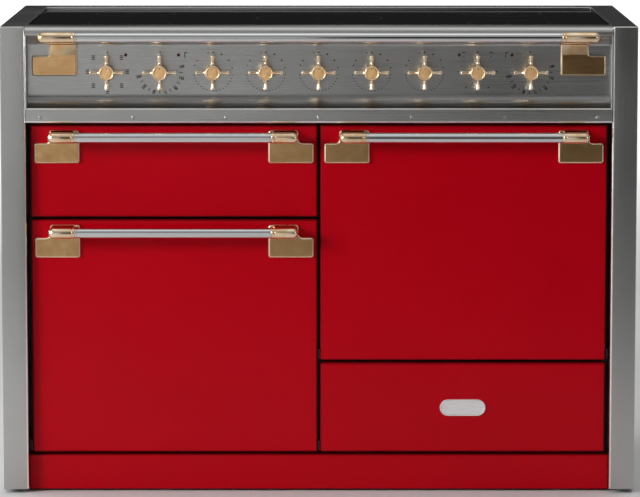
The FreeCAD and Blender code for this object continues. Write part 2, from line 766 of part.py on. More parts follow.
def door_handle(front, x, top):
    """Steel bar between two stepped brass brackets near the top edge of a front."""
    axis_z = f"({top}) - bar_drop"
    high = f"{axis_z} + plate_top_rise"
    low = f"{high} - plate_height"
    ends = []
    brackets = []
    for hand, edge, sign in (("left", x[0], "+"), ("right", x[1], "-")):
        def at(along, edge=edge, sign=sign):
            return f"{edge} {sign} (bracket_inset + {along})"
        name = f"{front}_bracket_{hand}"
        body = doc.addObject("PartDesign::Body", name)
        shoulder = f"{low} + plate_low_height"
        corners = [(at("0"), low), (at("plate_width"), low), (at("plate_width"), high),
                   (at("plate_step"), high), (at("plate_step"), shoulder), (at("0"), shoulder)]
        plate = outline(body, f"{name}_outline", "XZ_Plane", corners, "-(door_face)")
        pad(body, f"{name}_plate", plate, "plate_thickness")
        upright, rim = plate_edges("door_face - plate_thickness")
        soften(body, f"{name}_corners", "plate_round", upright)
        soften(body, f"{name}_bevel", "plate_bevel", rim, "Chamfer")
        arm_x = (at("plate_step + plate_round"), at("plate_step + ferrule_length - plate_round"))
        add_block(body, f"{name}_arm", arm_x if sign == "+" else arm_x[::-1], ("bar_y", "door_face"),
                  (f"{axis_z} - arm_half_height", f"{axis_z} + arm_half_height"))
        end = at("plate_step + ferrule_length")
        ferrule(body, name, "bar_y", axis_z, at("plate_step"), end, sign)
        ends.append(end)
        brackets.append(body)
    keep(f"{front}_handle_brackets", group(f"{front}_handle_brackets", *brackets))
    keep(f"{front}_handle_bar", bar(f"{front}_handle_bar", "bar_y", axis_z, tuple(ends)))


for side, oven in OVENS.items():
    door_handle(f"{side}_oven", oven["x"], oven["z"][1])

# Broiler: enamelled front on a sliding carriage that carries a pan and a wire grid.
broiler_front_x = ("-col_out", "-col_in")
broiler_front_z = ("broiler_low", "fronts_high")
keep("broiler_front", front_skin("broiler_front", broiler_front_x, broiler_front_z))
door_handle("broiler", broiler_front_x, "fronts_high")
carriage = [liner("broiler_front_liner", broiler_front_x, broiler_front_z)]
carriage_z = ("ledge_top + slack", "rail_top")
carriage_x = inset(broiler_x, "carriage_gap")
carriage_y = ("door_rear", "cavity_back - rail_tail")
for hand, limits in (("left", (carriage_x[0], f"{carriage_x[0]} + rail_width")),
                     ("right", (f"{carriage_x[1]} - rail_width", carriage_x[1]))):
    carriage.append(block(f"carriage_rail_{hand}", limits, carriage_y, carriage_z))
tail_y = (f"{carriage_y[1]} - rail_width", carriage_y[1])
carriage.append(block("carriage_tail", carriage_x, tail_y, carriage_z))
keep("broiler_carriage", fuse("broiler_carriage", *carriage))
pan_x = ("broiler_left + runner_width + pan_rim", "broiler_right - runner_width - pan_rim")
rim_x = inset(broiler_x, "pan_side_gap")
pan_y = inset(("pan_front", "pan_back"), "pan_rim")
pan_shell = block("pan_shell", pan_x, pan_y, ("pan_top - pan_depth", "pan_top"))
pan_lip = block("pan_lip", rim_x, ("pan_front", "pan_back"), ("rail_top", "pan_top"))
pan_hollow = block("pan_hollow", inset(pan_x, "pan_wall"), inset(pan_y, "pan_wall"),
                   ("pan_top - pan_depth + pan_wall", "pan_top"))
keep("broiler_pan", cut("broiler_pan", fuse("pan_walls", pan_shell, pan_lip), pan_hollow))
grid_z = "pan_top + grid_end_radius"
grid_x = grown(pan_x, "pan_rim / 2")
grid_y = grown(pan_y, "pan_rim / 4")
GRID_WIRE_COUNT = 21
grid_wires = []
for index, y in enumerate(grid_y, start=1):
    grid_wires.append(drum(f"grid_end_{index}", "x", (y, grid_z), "grid_end_radius", grid_x))
for index, x in enumerate(even(inset(grid_x, "grid_end_radius"), GRID_WIRE_COUNT), start=1):
    grid_wires.append(drum(f"grid_wire_{index}", "y", (x, grid_z), "grid_wire_radius", grid_y))
keep("broiler_grid", fuse("broiler_grid", *grid_wires))

# Broiler element: sheathed rods between two headers, hung from the roof of its compartment.
element_z = "broiler_roof - element_drop"
element_x = inset(broiler_x, "element_margin")
element_y = inset(("frame_rear", "cavity_back"), "element_margin")
ELEMENT_ROD_COUNT = 7
tubes = []
for index, y in enumerate(element_y):
    header_y = grown((y, y), "header_half")
    tubes.append(block(f"element_header_{index + 1}", grown(element_x, "element_radius"), header_y,
                       grown((element_z, element_z), "header_half")))
    for hand, x in zip(("left", "right"), inset(element_x, "element_margin")):
        tubes.append(block(f"element_hanger_{index + 1}_{hand}", grown((x, x), "element_radius"),
                           header_y, (element_z, "broiler_roof")))
for index, x in enumerate(even(inset(element_x, "element_radius"), ELEMENT_ROD_COUNT), start=1):
    tubes.append(drum(f"element_rod_{index}", "y", (x, element_z), "element_radius", element_y))
keep("heating_elements", group("heating_elements", *rings, fuse("broiler_element", *tubes)))

# Storage drawer: handle-less front with a bare oval badge plate, and an open steel box.
storage_front_x = ("col_in", "col_out")
storage_front_z = ("fronts_low", "storage_high")
keep("storage_front", front_skin("storage_front", storage_front_x, storage_front_z))
box_x = ("storage_box_left", "storage_box_right")
drawer_box = pan("storage_tub", box_x, ("door_rear - gauge", "cavity_back + storage_tail"),
                 ("storage_box_low", "storage_high - storage_box_drop"), "gauge", "+z")
storage_liner = liner("storage_front_liner", storage_front_x, storage_front_z)
keep("storage_box", fuse("storage_box", storage_liner, drawer_box))
badge_z = "(fronts_low + storage_high) / 2"
badge_x = grown(("col_mid", "col_mid"), "badge_half_width - badge_half_height")
badge_y = ("door_face - badge_thickness", "door_face")
badge = [block("badge_bar", badge_x, badge_y, grown((badge_z, badge_z), "badge_half_height"))]
for hand, x in zip(("left", "right"), badge_x):
    badge.append(drum(f"badge_end_{hand}", "y", (x, badge_z), "badge_half_height", badge_y))
keep("badge_plate", fuse("badge_plate", *badge))

# Runners: ledges on the broiler walls, and angles on the base tray under the storage box.
runners = []
for hand, limits in (("left", ("broiler_left", "broiler_left + runner_width")),
                     ("right", ("broiler_right - runner_width", "broiler_right"))):
    runners.append(block(f"broiler_runner_{hand}", limits, ("frame_rear", "cavity_back"),
                         ("broiler_floor + ledge_rise", "ledge_top")))
for hand, edge, sign in (("left", "storage_box_left", "+"), ("right", "storage_box_right", "-")):
    def beside(near, far, edge=edge, sign=sign):
        limits = (f"{edge} {sign} ({near})", f"{edge} {sign} ({far})")
        return limits if sign == "+" else limits[::-1]
    runner_y = ("frame_rear + gauge", "cavity_back + storage_tail")
    bed = block(f"storage_runner_{hand}_bed", beside("-runner_guide - slack", "runner_width"), runner_y,
                ("base_top", "storage_box_low - slack"))
    guide = block(f"storage_runner_{hand}_guide", beside("-runner_guide - slack", "-slack"), runner_y,
                  ("base_top", "storage_box_low + runner_guide_height"))
    runners.append(fuse(f"storage_runner_{hand}", bed, guide))
keep("drawer_runners", group("drawer_runners", *runners))

# Control fascia: stainless panel with a rounded nose, a recessed knob face that sweeps out through a
# cove to a screwed lip, and closed ends.
fascia = doc.addObject("PartDesign::Body", "fascia_sheet")
section = [
    ("hob_front", "range_height"), ("fascia_front", "range_height"), ("fascia_front", "band_low"),
    ("face", "face_high"), ("face", "lip_high"), ("fascia_front", "lip_high"),
    ("fascia_front", "fascia_low"), ("front + sill_depth", "fascia_low"),
    ("front + sill_depth", "fascia_low + gauge"), ("fascia_front + gauge", "fascia_low + gauge"),
    ("fascia_front + gauge", "lip_high - gauge"), ("face_rear", "lip_high - gauge"),
    ("face_rear", "face_high + gauge / 2"), ("fascia_front + gauge", "band_low + gauge / 2"),
    ("fascia_front + gauge", "range_height - gauge"), ("hob_front - gauge", "range_height - gauge"),
    ("hob_front - gauge", "lip_level"), ("hob_front", "lip_level"),
]
run = outline(fascia, "fascia_section", "YZ_Plane", section, "-inner_half")
pad(fascia, "fascia_run", run, "2 * inner_half")
soften(fascia, "fascia_cove", "cove_round", along_x_at("face", "lip_high"))
soften(fascia, "fascia_cove_rear", "cove_round + gauge", along_x_at("face_rear", "lip_high - gauge"))
soften(fascia, "fascia_nose", "nose_round", along_x_at("fascia_front", "range_height"))
soften(fascia, "fascia_lip", "lip_round", along_x_at("fascia_front", "fascia_low"))
soften(fascia, "fascia_lip_top", "lip_round / 2", along_x_at("fascia_front", "lip_high"))
for hand, limits in (("left", ("-inner_half", "-inner_half + fascia_cap")),
                     ("right", ("inner_half - fascia_cap", "inner_half"))):
    add_block(fascia, f"fascia_end_{hand}", limits, ("fascia_front", "face_rear"),
              ("lip_high - lip_round", "band_low + gauge"))
KNOBS = ("left_oven_mode", "left_oven_heat", "zone_1", "zone_2", "zone_3", "zone_4", "zone_5",
         "broiler", "right_oven_heat")
SCREW_COUNT = 7
knob_at = even(("-knob_span", "knob_span"), len(KNOBS))
screw_at = even(inset(("-inner_half", "inner_half"), "screw_inset"), SCREW_COUNT)
lamp_at = [f"{knob_at[0]} + lamp_offset", f"{knob_at[1]} + lamp_offset",
           f"{knob_at[7]} - lamp_offset", f"{knob_at[8]} - lamp_offset"]
lamp_z = "knob_z + lamp_rise"
screw_z = "fascia_low + screw_height"
face_y = ("face", "face_rear")
lip_y = ("fascia_front", "fascia_front + gauge")
lamp_y = ("face - lamp_proud", "face - lamp_proud + lamp_length")
head_y = ("fascia_front - screw_head_height", "fascia_front")
shank_y = ("fascia_front - screw_head_height / 2", "fascia_front + screw_length")
fascia_holes = []
lamps = []
screws = []
for index, x in enumerate(knob_at, start=1):
    fascia_holes.append(drum(f"spindle_hole_{index}", "y", (x, "knob_z"),
                             "spindle_radius + spindle_clear", face_y))
for index, x in enumerate(lamp_at, start=1):
    fascia_holes.append(drum(f"lamp_hole_{index}", "y", (x, lamp_z), "lamp_radius + lamp_fit", face_y))
    lamps.append(drum(f"lamp_{index}", "y", (x, lamp_z), "lamp_radius", lamp_y))
for index, x in enumerate(screw_at, start=1):
    fascia_holes.append(drum(f"screw_hole_{index}", "y", (x, screw_z), "screw_radius + screw_fit", lip_y))
    head = drum(f"screw_head_{index}", "y", (x, screw_z), "screw_head_radius", head_y)
    shank = drum(f"screw_shank_{index}", "y", (x, screw_z), "screw_radius", shank_y)
    screws.append(fuse(f"screw_{index}", head, shank))
keep("control_fascia", cut("control_fascia", fascia, *fascia_holes))
keep("indicator_lamps", group("indicator_lamps", *lamps))
keep("fascia_screws", group("fascia_screws", *screws))

# Hand rail: steel bar across the whole panel on two brass brackets that reach up from the knob face.
rail_ends = []
rail_brackets = []
for hand, edge, sign in (("left", "-inner_half", "+"), ("right", "inner_half", "-")):
    def at(along, edge=edge, sign=sign):
        return f"{edge} {sign} (fascia_cap + {along})"
    name = f"rail_bracket_{hand}"
    body = doc.addObject("PartDesign::Body", name)
    high = "range_height - rail_plate_drop"
    low = f"{high} - plate_low_height"
    corners = [(at("slack"), low), (at("plate_width"), low), (at("plate_width"), high), (at("slack"), high)]
    plate = outline(body, f"{name}_outline", "XZ_Plane", corners, "-(face)")
    pad(body, f"{name}_plate", plate, "plate_thickness")
    upright, rim = plate_edges("face - plate_thickness")
    soften(body, f"{name}_corners", "plate_round", upright)
    soften(body, f"{name}_bevel", "plate_bevel", rim, "Chamfer")
    neck = [("face", f"{high} - plate_round"),
            ("face - plate_thickness + plate_bevel", f"{high} - plate_round"),
            ("rail_y", "rail_z - arm_half_height"), ("rail_y", "rail_z + arm_half_height / 2"),
            ("rail_y + arm_half_height", "rail_z + arm_half_height / 2"),
            ("face", f"{high} + plate_round")]
    neck_x = (at("plate_step + plate_round"), at("plate_width - plate_bevel"))
    near = neck_x[0] if sign == "+" else neck_x[1]
    pad(body, f"{name}_neck", outline(body, f"{name}_neck_section", "YZ_Plane", neck, near),
        "plate_width - plate_bevel - plate_step - plate_round")
    outer_end = at("plate_width - rail_ferrule_length")
    ferrule(body, name, "rail_y", "rail_z", outer_end, at("plate_width"), sign)
    rail_ends.append(at("plate_width"))
    rail_brackets.append(body)
keep("rail_brackets", group("rail_brackets", *rail_brackets))
keep("hand_rail", bar("hand_rail", "rail_y", "rail_z", tuple(rail_ends)))

# Hob: steel vent rail along the back, black glass on an aluminium tray that holds the coils, and the
# two power boards under the tray.
vent = doc.addObject("PartDesign::Body", "rear_vent_rail")
hob_x = ("-inner_half", "inner_half")
hob_y = ("hob_front", "hob_rear")
hob_mid = "(hob_front + hob_rear) / 2"
vent_y = ("hob_rear", "back")
vent_mid = "(hob_rear + back) / 2"
add_block(vent, "vent_outer", hob_x, vent_y, ("lip_level", "range_height"))
add_block(vent, "vent_hollow", inset(hob_x, "gauge"), inset(vent_y, "gauge"),
          ("lip_level", "range_height - gauge"), "Subtractive")
slot = add_block(vent, "vent_slot", ("vent_slot_low", "vent_slot_low + vent_slot_width"),
                 grown((vent_mid, vent_mid), "vent_slot_length / 2"),
                 ("range_height - gauge", "range_height"), "Subtractive")
slots = vent.newObject("PartDesign::LinearPattern", "vent_slots")
slots.Originals = [slot]
slots.Direction = (base_feature(vent, "X_Axis"), [""])
bind(slots, "Occurrences", "vent_slot_count")
bind(slots, "Length", "(vent_slot_count - 1) * vent_slot_pitch")
vent.Tip = slots
keep("rear_vent_rail", vent)
keep("hob_tray", pan("hob_tray", hob_x, hob_y, ("tray_low", "tray_top"), "gauge", "+z"))
keep("hob_glass", block("hob_glass", inset(hob_x, "glass_gap"), inset(hob_y, "glass_gap"),
                        ("tray_top", "glass_top")))
coil_x = "inner_half - coil_side_margin"
coil_spots = [("0", hob_mid, "coil_large_radius")]
for x in (f"-({coil_x})", coil_x):
    for y in inset(hob_y, "coil_row_margin"):
        coil_spots.append((x, y, "coil_small_radius"))
coils = []
for index, (x, y, radius) in enumerate(coil_spots, start=1):
    span = ("tray_low + gauge", "tray_low + gauge + coil_thickness")
    coils.append(cut(f"coil_{index}", drum(f"coil_{index}_disc", "z", (x, y), radius, span),
                     drum(f"coil_{index}_eye", "z", (x, y), "coil_hole_radius", span)))
keep("induction_coils", group("induction_coils", *coils))
boards = []
for hand, sign in (("left", "-"), ("right", "")):
    middle = f"{sign}(inner_half - board_margin - board_length / 2)"
    boards.append(block(f"power_board_{hand}", grown((middle, middle), "board_length / 2"),
                        grown((hob_mid, hob_mid), "board_width / 2"),
                        ("tray_low - board_height", "tray_low")))
keep("induction_boards", group("induction_boards", *boards))

# Supply terminal box inside the back panel, with the gland that takes the mains cable.
supply_x = grown(("supply_x", "supply_x"), "supply_box_half_width")
supply_z = grown(("supply_z", "supply_z"), "supply_box_half_height")
supply_cover = pan("supply_cover", supply_x, ("panel_back - supply_box_depth", "panel_back"), supply_z,
                   "gauge", "+y")
gland_span = ("back - gland_length", "back")
gland = cut("cable_gland", drum("gland_body", "y", ("supply_x", "supply_z"), "gland_radius", gland_span),
            drum("gland_way", "y", ("supply_x", "supply_z"), "gland_bore", gland_span))
keep("terminal_box", group("terminal_box", supply_cover, gland))

# Rotary switches behind the knob face and the nine cross knobs, each on its spindle.
ARM_COUNT = 4
switches = []
for index, x in enumerate(knob_at, start=1):
    switch_y = ("face_rear", "face_rear + switch_depth")
    case = block(f"switch_case_{index}", grown((x, x), "switch_half"), switch_y,
                 grown(("knob_z", "knob_z"), "switch_half"))
    spindle_way = drum(f"switch_bore_{index}", "y", (x, "knob_z"), "spindle_radius + running_fit", switch_y)
    switches.append(cut(f"switch_{index}", case, spindle_way))
keep("control_switches", group("control_switches", *switches))


def arm_tip(edge):
    """Test for the round edge at the end of a knob arm."""
    reach = number("arm_reach ^ 2 + arm_level ^ 2") ** 0.5
    return len(edge.Vertexes) == 1 and abs(edge.CenterOfMass.Length - reach) < 100 * CLOSE


for knob, x in zip(KNOBS, knob_at):
    name = f"{knob}_cross"
    body = doc.addObject("PartDesign::Body", name)
    boss_low = "knob_height - boss_depth"
    bore = "spindle_radius + running_fit"
    dish = "knob_height - dish_depth"
    turned = [(bore, "0"), ("skirt_radius", "0"), ("skirt_radius", "skirt_height / 2"),
              ("neck_radius", "skirt_height * 2"), ("neck_radius", f"{boss_low} - skirt_height"),
              ("boss_radius", boss_low), ("boss_radius", "knob_height"),
              ("boss_radius - rim_width", "knob_height"), ("boss_radius - rim_width - dish_depth / 2", dish),
              ("0", dish), ("0", "spindle_bore_depth"), (bore, "spindle_bore_depth")]
    revolve(body, f"{name}_boss", outline(body, f"{name}_profile", "XZ_Plane", turned), "V_Axis")
    tapered = [("neck_radius", "0"), ("arm_reach", "0"), ("arm_reach", "arm_tip_radius"),
               ("neck_radius", "arm_root_radius")]
    arm_profile = outline(body, f"{name}_arm_profile", "XZ_Plane", tapered, "0", "arm_level")
    spread(body, f"{name}_arms", revolve(body, f"{name}_arm", arm_profile, "H_Axis"), ARM_COUNT)
    soften(body, f"{name}_tips", "arm_tip_round", arm_tip)
    body.Placement = FreeCAD.Placement(FreeCAD.Vector(), FreeCAD.Rotation(FreeCAD.Vector(1, 0, 0), 90))
    bind(body, "Placement.Base.x", x)
    bind(body, "Placement.Base.y", "knob_base")
    bind(body, "Placement.Base.z", "knob_z")
    spindle = drum(f"{knob}_spindle", "y", (x, "knob_z"), "spindle_radius",
                   ("knob_base - spindle_bore_depth", "face_rear + switch_depth - spindle_end_gap"))
    keep(f"{knob}_knob", group(f"{knob}_knob", body, spindle))

doc.recompute()
faults = [item.Name for item in doc.Objects if "Invalid" in item.State or "Error" in item.State]
faults += [name for name, item in nodes.items() if item.Shape.isNull() or not item.Shape.isValid()]
if faults:
    raise RuntimeError("not sound: " + ", ".join(faults))
os.makedirs("parts", exist_ok=True)
for name, item in nodes.items():
    item.Shape.exportStep(f"parts/{name}.step")
print(len(nodes), "sub-parts")
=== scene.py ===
import math

import bpy
import numpy as np
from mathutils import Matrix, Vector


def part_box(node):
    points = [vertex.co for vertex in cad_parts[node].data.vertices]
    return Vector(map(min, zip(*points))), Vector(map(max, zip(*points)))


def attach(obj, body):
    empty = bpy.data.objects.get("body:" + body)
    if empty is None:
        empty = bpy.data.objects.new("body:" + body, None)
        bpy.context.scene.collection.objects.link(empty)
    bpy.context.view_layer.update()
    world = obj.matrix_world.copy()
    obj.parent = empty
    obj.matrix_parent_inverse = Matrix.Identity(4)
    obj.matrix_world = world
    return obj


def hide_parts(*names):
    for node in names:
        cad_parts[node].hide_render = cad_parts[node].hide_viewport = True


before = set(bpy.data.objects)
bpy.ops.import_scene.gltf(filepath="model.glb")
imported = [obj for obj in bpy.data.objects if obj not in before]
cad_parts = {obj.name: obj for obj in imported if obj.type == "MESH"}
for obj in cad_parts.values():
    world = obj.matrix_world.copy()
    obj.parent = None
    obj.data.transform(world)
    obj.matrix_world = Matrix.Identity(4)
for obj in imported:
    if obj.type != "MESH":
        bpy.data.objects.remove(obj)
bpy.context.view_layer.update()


# Levelling feet: four round moulded pads of black nylon under the corners, each with a turned-in
# waist above a wide sole. They are screwed into the base and carry the whole range.
def new_finish(name, values):
    """New material; a value that is the same all over goes straight onto the shader's own socket."""
    made = bpy.data.materials.new(name)
    made.use_nodes = True
    shader = made.node_tree.nodes["Principled BSDF"]
    for socket, value in values.items():
        shader.inputs[socket].default_value = value
    return made


def node(made, kind, inputs, **settings):
    """Adds a shader node; each input is a fixed value or the output of another node."""
    added = made.node_tree.nodes.new(kind)
    for key, value in settings.items():
        setattr(added, key, value)
    for socket, value in inputs.items():
        if isinstance(value, bpy.types.NodeSocket):
            made.node_tree.links.new(value, added.inputs[socket])
        else:
            added.inputs[socket].default_value = value
    return added


def own_place(made):
    """The piece's own coordinates."""
    return node(made, "ShaderNodeTexCoord", {}).outputs["Object"]


def grain(made, scale, stretch=(1, 1, 1), detail=3):
    """Noise on the piece's own coordinates, stretched along the way that the surface was worked."""
    drawn = node(made, "ShaderNodeMapping", {"Vector": own_place(made), "Scale": stretch}).outputs["Vector"]
    noise = node(made, "ShaderNodeTexNoise", {"Vector": drawn, "Scale": scale, "Detail": detail})
    return noise.outputs["Fac"]


def ramp(made, value, *stops):
    """Colours laid along a value, each stop a place from 0 to 1 and a linear colour."""
    added = node(made, "ShaderNodeValToRGB", {"Fac": value})
    band = added.color_ramp.elements
    for index, (place, colour) in enumerate(stops):
        stop = band[index] if index < 2 else band.new(place)
        stop.position = place
        stop.color = (*colour, 1)
    return added.outputs["Color"]


def scaled(made, value, low, high):
    """Carries the middle of a noise onto the range from low to high."""
    inputs = {"Value": value, "From Min": NOISE_LOW, "From Max": NOISE_HIGH, "To Min": low, "To Max": high}
    return node(made, "ShaderNodeMapRange", inputs).outputs["Result"]


def feed(made, socket, value):
    """Links an output to a socket of the material's shader."""
    made.node_tree.links.new(value, made.node_tree.nodes["Principled BSDF"].inputs[socket])


def tint(made, pattern, dark, pale):
    """Lays two linear colours over the middle of a noise."""
    feed(made, "Base Color", ramp(made, pattern, (NOISE_LOW, dark), (NOISE_HIGH, pale)))


def roughen(made, pattern, low, high):
    """Varies the roughness from low to high over the middle of a noise."""
    feed(made, "Roughness", scaled(made, pattern, low, high))


def emboss(made, height, depth):
    """Raises the surface by a height pattern of the given depth in metres."""
    bump = node(made, "ShaderNodeBump", {"Height": height, "Strength": 1.0, "Distance": depth})
    feed(made, "Normal", bump.outputs["Normal"])


def place_mesh(name, points, faces, wear_and_light, made, body, slot, *nodes):
    """Puts points (mm) and faces into one object with its finish, its edge wear and painted light, and the
    body it rides on.
    """
    mesh = bpy.data.meshes.new(name)
    mesh.from_pydata((np.asarray(points) * METRES).tolist(), [], faces)
    mesh.attributes.new("edge", "FLOAT", "POINT").data.foreach_set("value", np.asarray(wear_and_light, np.float32))
    mesh.shade_smooth()
    mesh.set_sharp_from_angle(angle=SHARP_ANGLE)
    mesh.materials.append(made)
    piece = bpy.data.objects.new(name, mesh)
    bpy.context.scene.collection.objects.link(piece)
    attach(piece, body)
    if nodes:
        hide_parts(*nodes)
    return piece


def build(name, shells, made, body, slot, *nodes):
    """One object from shells, each a grid of points (mm), its wear and painted light and whether its rows
    close.

    The wear and painted light is one value, one for each row, or a column of values, one for each place round
    the rows. The columns of a grid always close. Open ends are capped with one flat face. The sum of a.(b x
    c) over the faces is six times the volume, and a shell where it is negative is turned inside out."""
    points, faces, wear_and_light, start = [], [], [], 0
    for grid, shell_wear_and_light, ring in shells:
        rows, columns = grid.shape[:2]
        index = np.arange(rows * columns).reshape(rows, columns)
        along = np.concatenate([index, index[:1]]) if ring else index
        beside = np.roll(along, -1, axis=1)
        quads = np.stack([along[:-1], beside[:-1], beside[1:], along[1:]], axis=-1).reshape(-1, 4)
        flat = grid.reshape(-1, 3)
        a, b, c, d = (flat[quads[:, corner]] for corner in range(4))
        volume = np.sum(a * (np.cross(b, c) + np.cross(c, d)))
        made_faces = quads.tolist()
        if not ring:
            for loop in (index[0][::-1], index[-1]):
                rim = flat[loop]
                volume += np.sum(rim[0] * np.cross(rim[1:-1], rim[2:]))
                made_faces.append(loop.tolist())
        turn = 1 if volume > 0 else -1
        faces += [[start + corner for corner in face[::turn]] for face in made_faces]
        points.append(flat)
        wear_and_light.append(np.broadcast_to(shell_wear_and_light, (columns, rows)).T.ravel())
        start += rows * columns
    return place_mesh(name, np.concatenate(points), faces, np.concatenate(wear_and_light), made, body, slot, *nodes)


def turned(profile, centre, axis, around=32, wear_and_light=0.0):
    """Surface of revolution: each (radius, height) of the profile goes round the axis as a circle."""
    radius, height = np.asarray(profile, float).T
    angle = np.linspace(0, 2 * np.pi, around, endpoint=False)
    across = radius[:, None] * np.cos(angle)
    up = radius[:, None] * np.sin(angle)
    level = np.broadcast_to(height[:, None], across.shape)
    order = {"x": (level, across, up), "y": (across, level, up), "z": (across, up, level)}[axis]
    return np.stack(order, axis=-1) + np.asarray(centre, float), wear_and_light, False


METRES = 0.001
MILLIMETRES = 1000
SHARP_ANGLE = math.radians(34)
NOISE_LOW = 0.3
NOISE_HIGH = 0.7
AXIS = 0.05
FOOT_HEIGHT = 8
FOOT_RADIUS = 20
FOOT_WAIST = 12
foot_low, foot_high = (np.array(corner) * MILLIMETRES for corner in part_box("levelling_feet"))
foot_profile = [(AXIS, 0), (FOOT_RADIUS - 2, 0), (FOOT_RADIUS - 0.6, 0.4), (FOOT_RADIUS, 1.2),
                (FOOT_RADIUS, 2.6), (FOOT_RADIUS - 1, 3.6), (FOOT_WAIST + 2, 4.4), (FOOT_WAIST, 5.2),
                (FOOT_WAIST, FOOT_HEIGHT)]
nylon = new_finish("black_nylon", {"Roughness": 0.6})
tint(nylon, grain(nylon, 60), (0.012, 0.012, 0.013), (0.03, 0.03, 0.031))
emboss(nylon, grain(nylon, 1400), 0.00008)
feet = [turned(foot_profile, (x, y, 0), "z", 40)
        for x in (foot_low[0] + FOOT_RADIUS, foot_high[0] - FOOT_RADIUS)
        for y in (foot_low[1] + FOOT_RADIUS, foot_high[1] - FOOT_RADIUS)]
build("levelling_pads", feet, nylon, "chassis", "black_plastic", "levelling_feet")


# Base tray, back panel, runners and the other hidden sheet: hot-dip galvanised steel, bent and spot
# welded. The zinc freezes in flat crystals, so neighbouring patches shine differently.
def dress(made, *names):
    """Gives CAD nodes a finish through their material slots."""
    for name in names:
        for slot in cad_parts[name].material_slots:
            slot.material = made


zinc = new_finish("galvanised_sheet", {"Metallic": 1.0})
spangle = node(zinc, "ShaderNodeTexVoronoi", {"Vector": own_place(zinc), "Scale": 70.0}).outputs["Color"]
spangle_value = node(zinc, "ShaderNodeRGBToBW", {"Color": spangle}).outputs["Val"]
feed(zinc, "Base Color", ramp(zinc, spangle_value, (0.1, (0.36, 0.37, 0.39)), (0.9, (0.58, 0.59, 0.6))))
roughen(zinc, spangle_value, 0.36, 0.5)
emboss(zinc, grain(zinc, 500), 0.00006)
dress(zinc, "base_tray", "back_panel", "fan_motors", "drawer_runners", "left_oven_fan", "right_oven_fan",
      "broiler_carriage", "storage_box")


# Side panels: stainless cheeks folded from one sheet, with a wide front, a return towards the doors, a top
# flange and a turned-down lip. The folds have a small round that catches the light down the whole edge, and
# a painted highlight brightens the inner front fold and the flange's rounded edge.
def rounded_outline(corners, radii, inset, steps):
    """Closed outline through counter-clockwise corners, moved inwards by inset, with an arc in each corner.

    A corner moves by inset along both walls' normals. Its radius shrinks by inset, or grows where the
    outline turns inwards. The arc starts r tan(t/2) before the corner and sweeps the turn t."""
    spot = np.asarray(corners, float)
    into = spot - np.roll(spot, 1, axis=0)
    into /= np.linalg.norm(into, axis=1, keepdims=True)
    out = np.roll(into, -1, axis=0)
    inward, inward_next = (np.stack([-run[:, 1], run[:, 0]], axis=1) for run in (into, out))
    along = np.sum(into * out, axis=1)
    turn = np.arctan2(into[:, 0] * out[:, 1] - into[:, 1] * out[:, 0], along)
    hand = np.sign(turn)
    spot = spot + inset * (inward + inward_next) / (1 + along)[:, None]
    radius = np.maximum(np.asarray(radii, float) - inset * hand, SMALLEST_ROUND)
    sweep = np.abs(turn)[:, None] * np.linspace(0, 1, steps)
    start = spot - (radius * np.tan(np.abs(turn) / 2))[:, None] * into
    forward = (radius[:, None] * np.sin(sweep))[..., None] * into[:, None]
    sideways = (radius[:, None] * (1 - np.cos(sweep)) * hand[:, None])[..., None] * inward[:, None]
    return (start[:, None] + forward + sideways).reshape(-1, 2)


def slab(corners, radii, profile, plane, steps=6, wear_and_light=0.0, ring=False):
    """Stack of one outline: each (inset, level) of the profile is the outline moved in at that level.

    The outline lies in x and z for "front", x and y for "top", and y and z for "side"."""
    rows = []
    for inset, level in profile:
        first, second = rounded_outline(corners, radii, inset, steps).T
        height = np.full_like(first, level)
        order = {"front": (first, height, second), "top": (first, second, height),
                 "side": (height, first, second)}
        rows.append(np.stack(order[plane], axis=-1))
    return np.stack(rows), wear_and_light, ring


def eased(rear, front, radius, steps=5, guard=1.0):
    """Profile of a wall from rear to front, with a quarter round and a narrow flat ring before the face."""
    angle = np.linspace(0, np.pi / 2, steps)
    side = np.sign(front - rear)
    round_over = np.stack([radius * (1 - np.cos(angle)), front - side * radius * (1 - np.sin(angle))], axis=1)
    return np.concatenate([[(0, rear)], round_over, [(radius + guard, front)]])


def box_corners(low, high):
    """Counter-clockwise corners of an upright rectangle."""
    return [(low[0], low[1]), (high[0], low[1]), (high[0], high[1]), (low[0], high[1])]


def mirrored(shells):
    """The same shells on the other side of the middle plane."""
    return [(grid * np.array([-1, 1, 1]), wear_and_light, ring) for grid, wear_and_light, ring in shells]


def maths(made, operation, *values):
    """One step of arithmetic on fixed values or outputs."""
    return node(made, "ShaderNodeMath", dict(enumerate(values)), operation=operation).outputs["Value"]


def edge_value(made):
    """The wear and painted light that each point of the mesh carries."""
    return node(made, "ShaderNodeAttribute", {}, attribute_name="edge").outputs["Fac"]


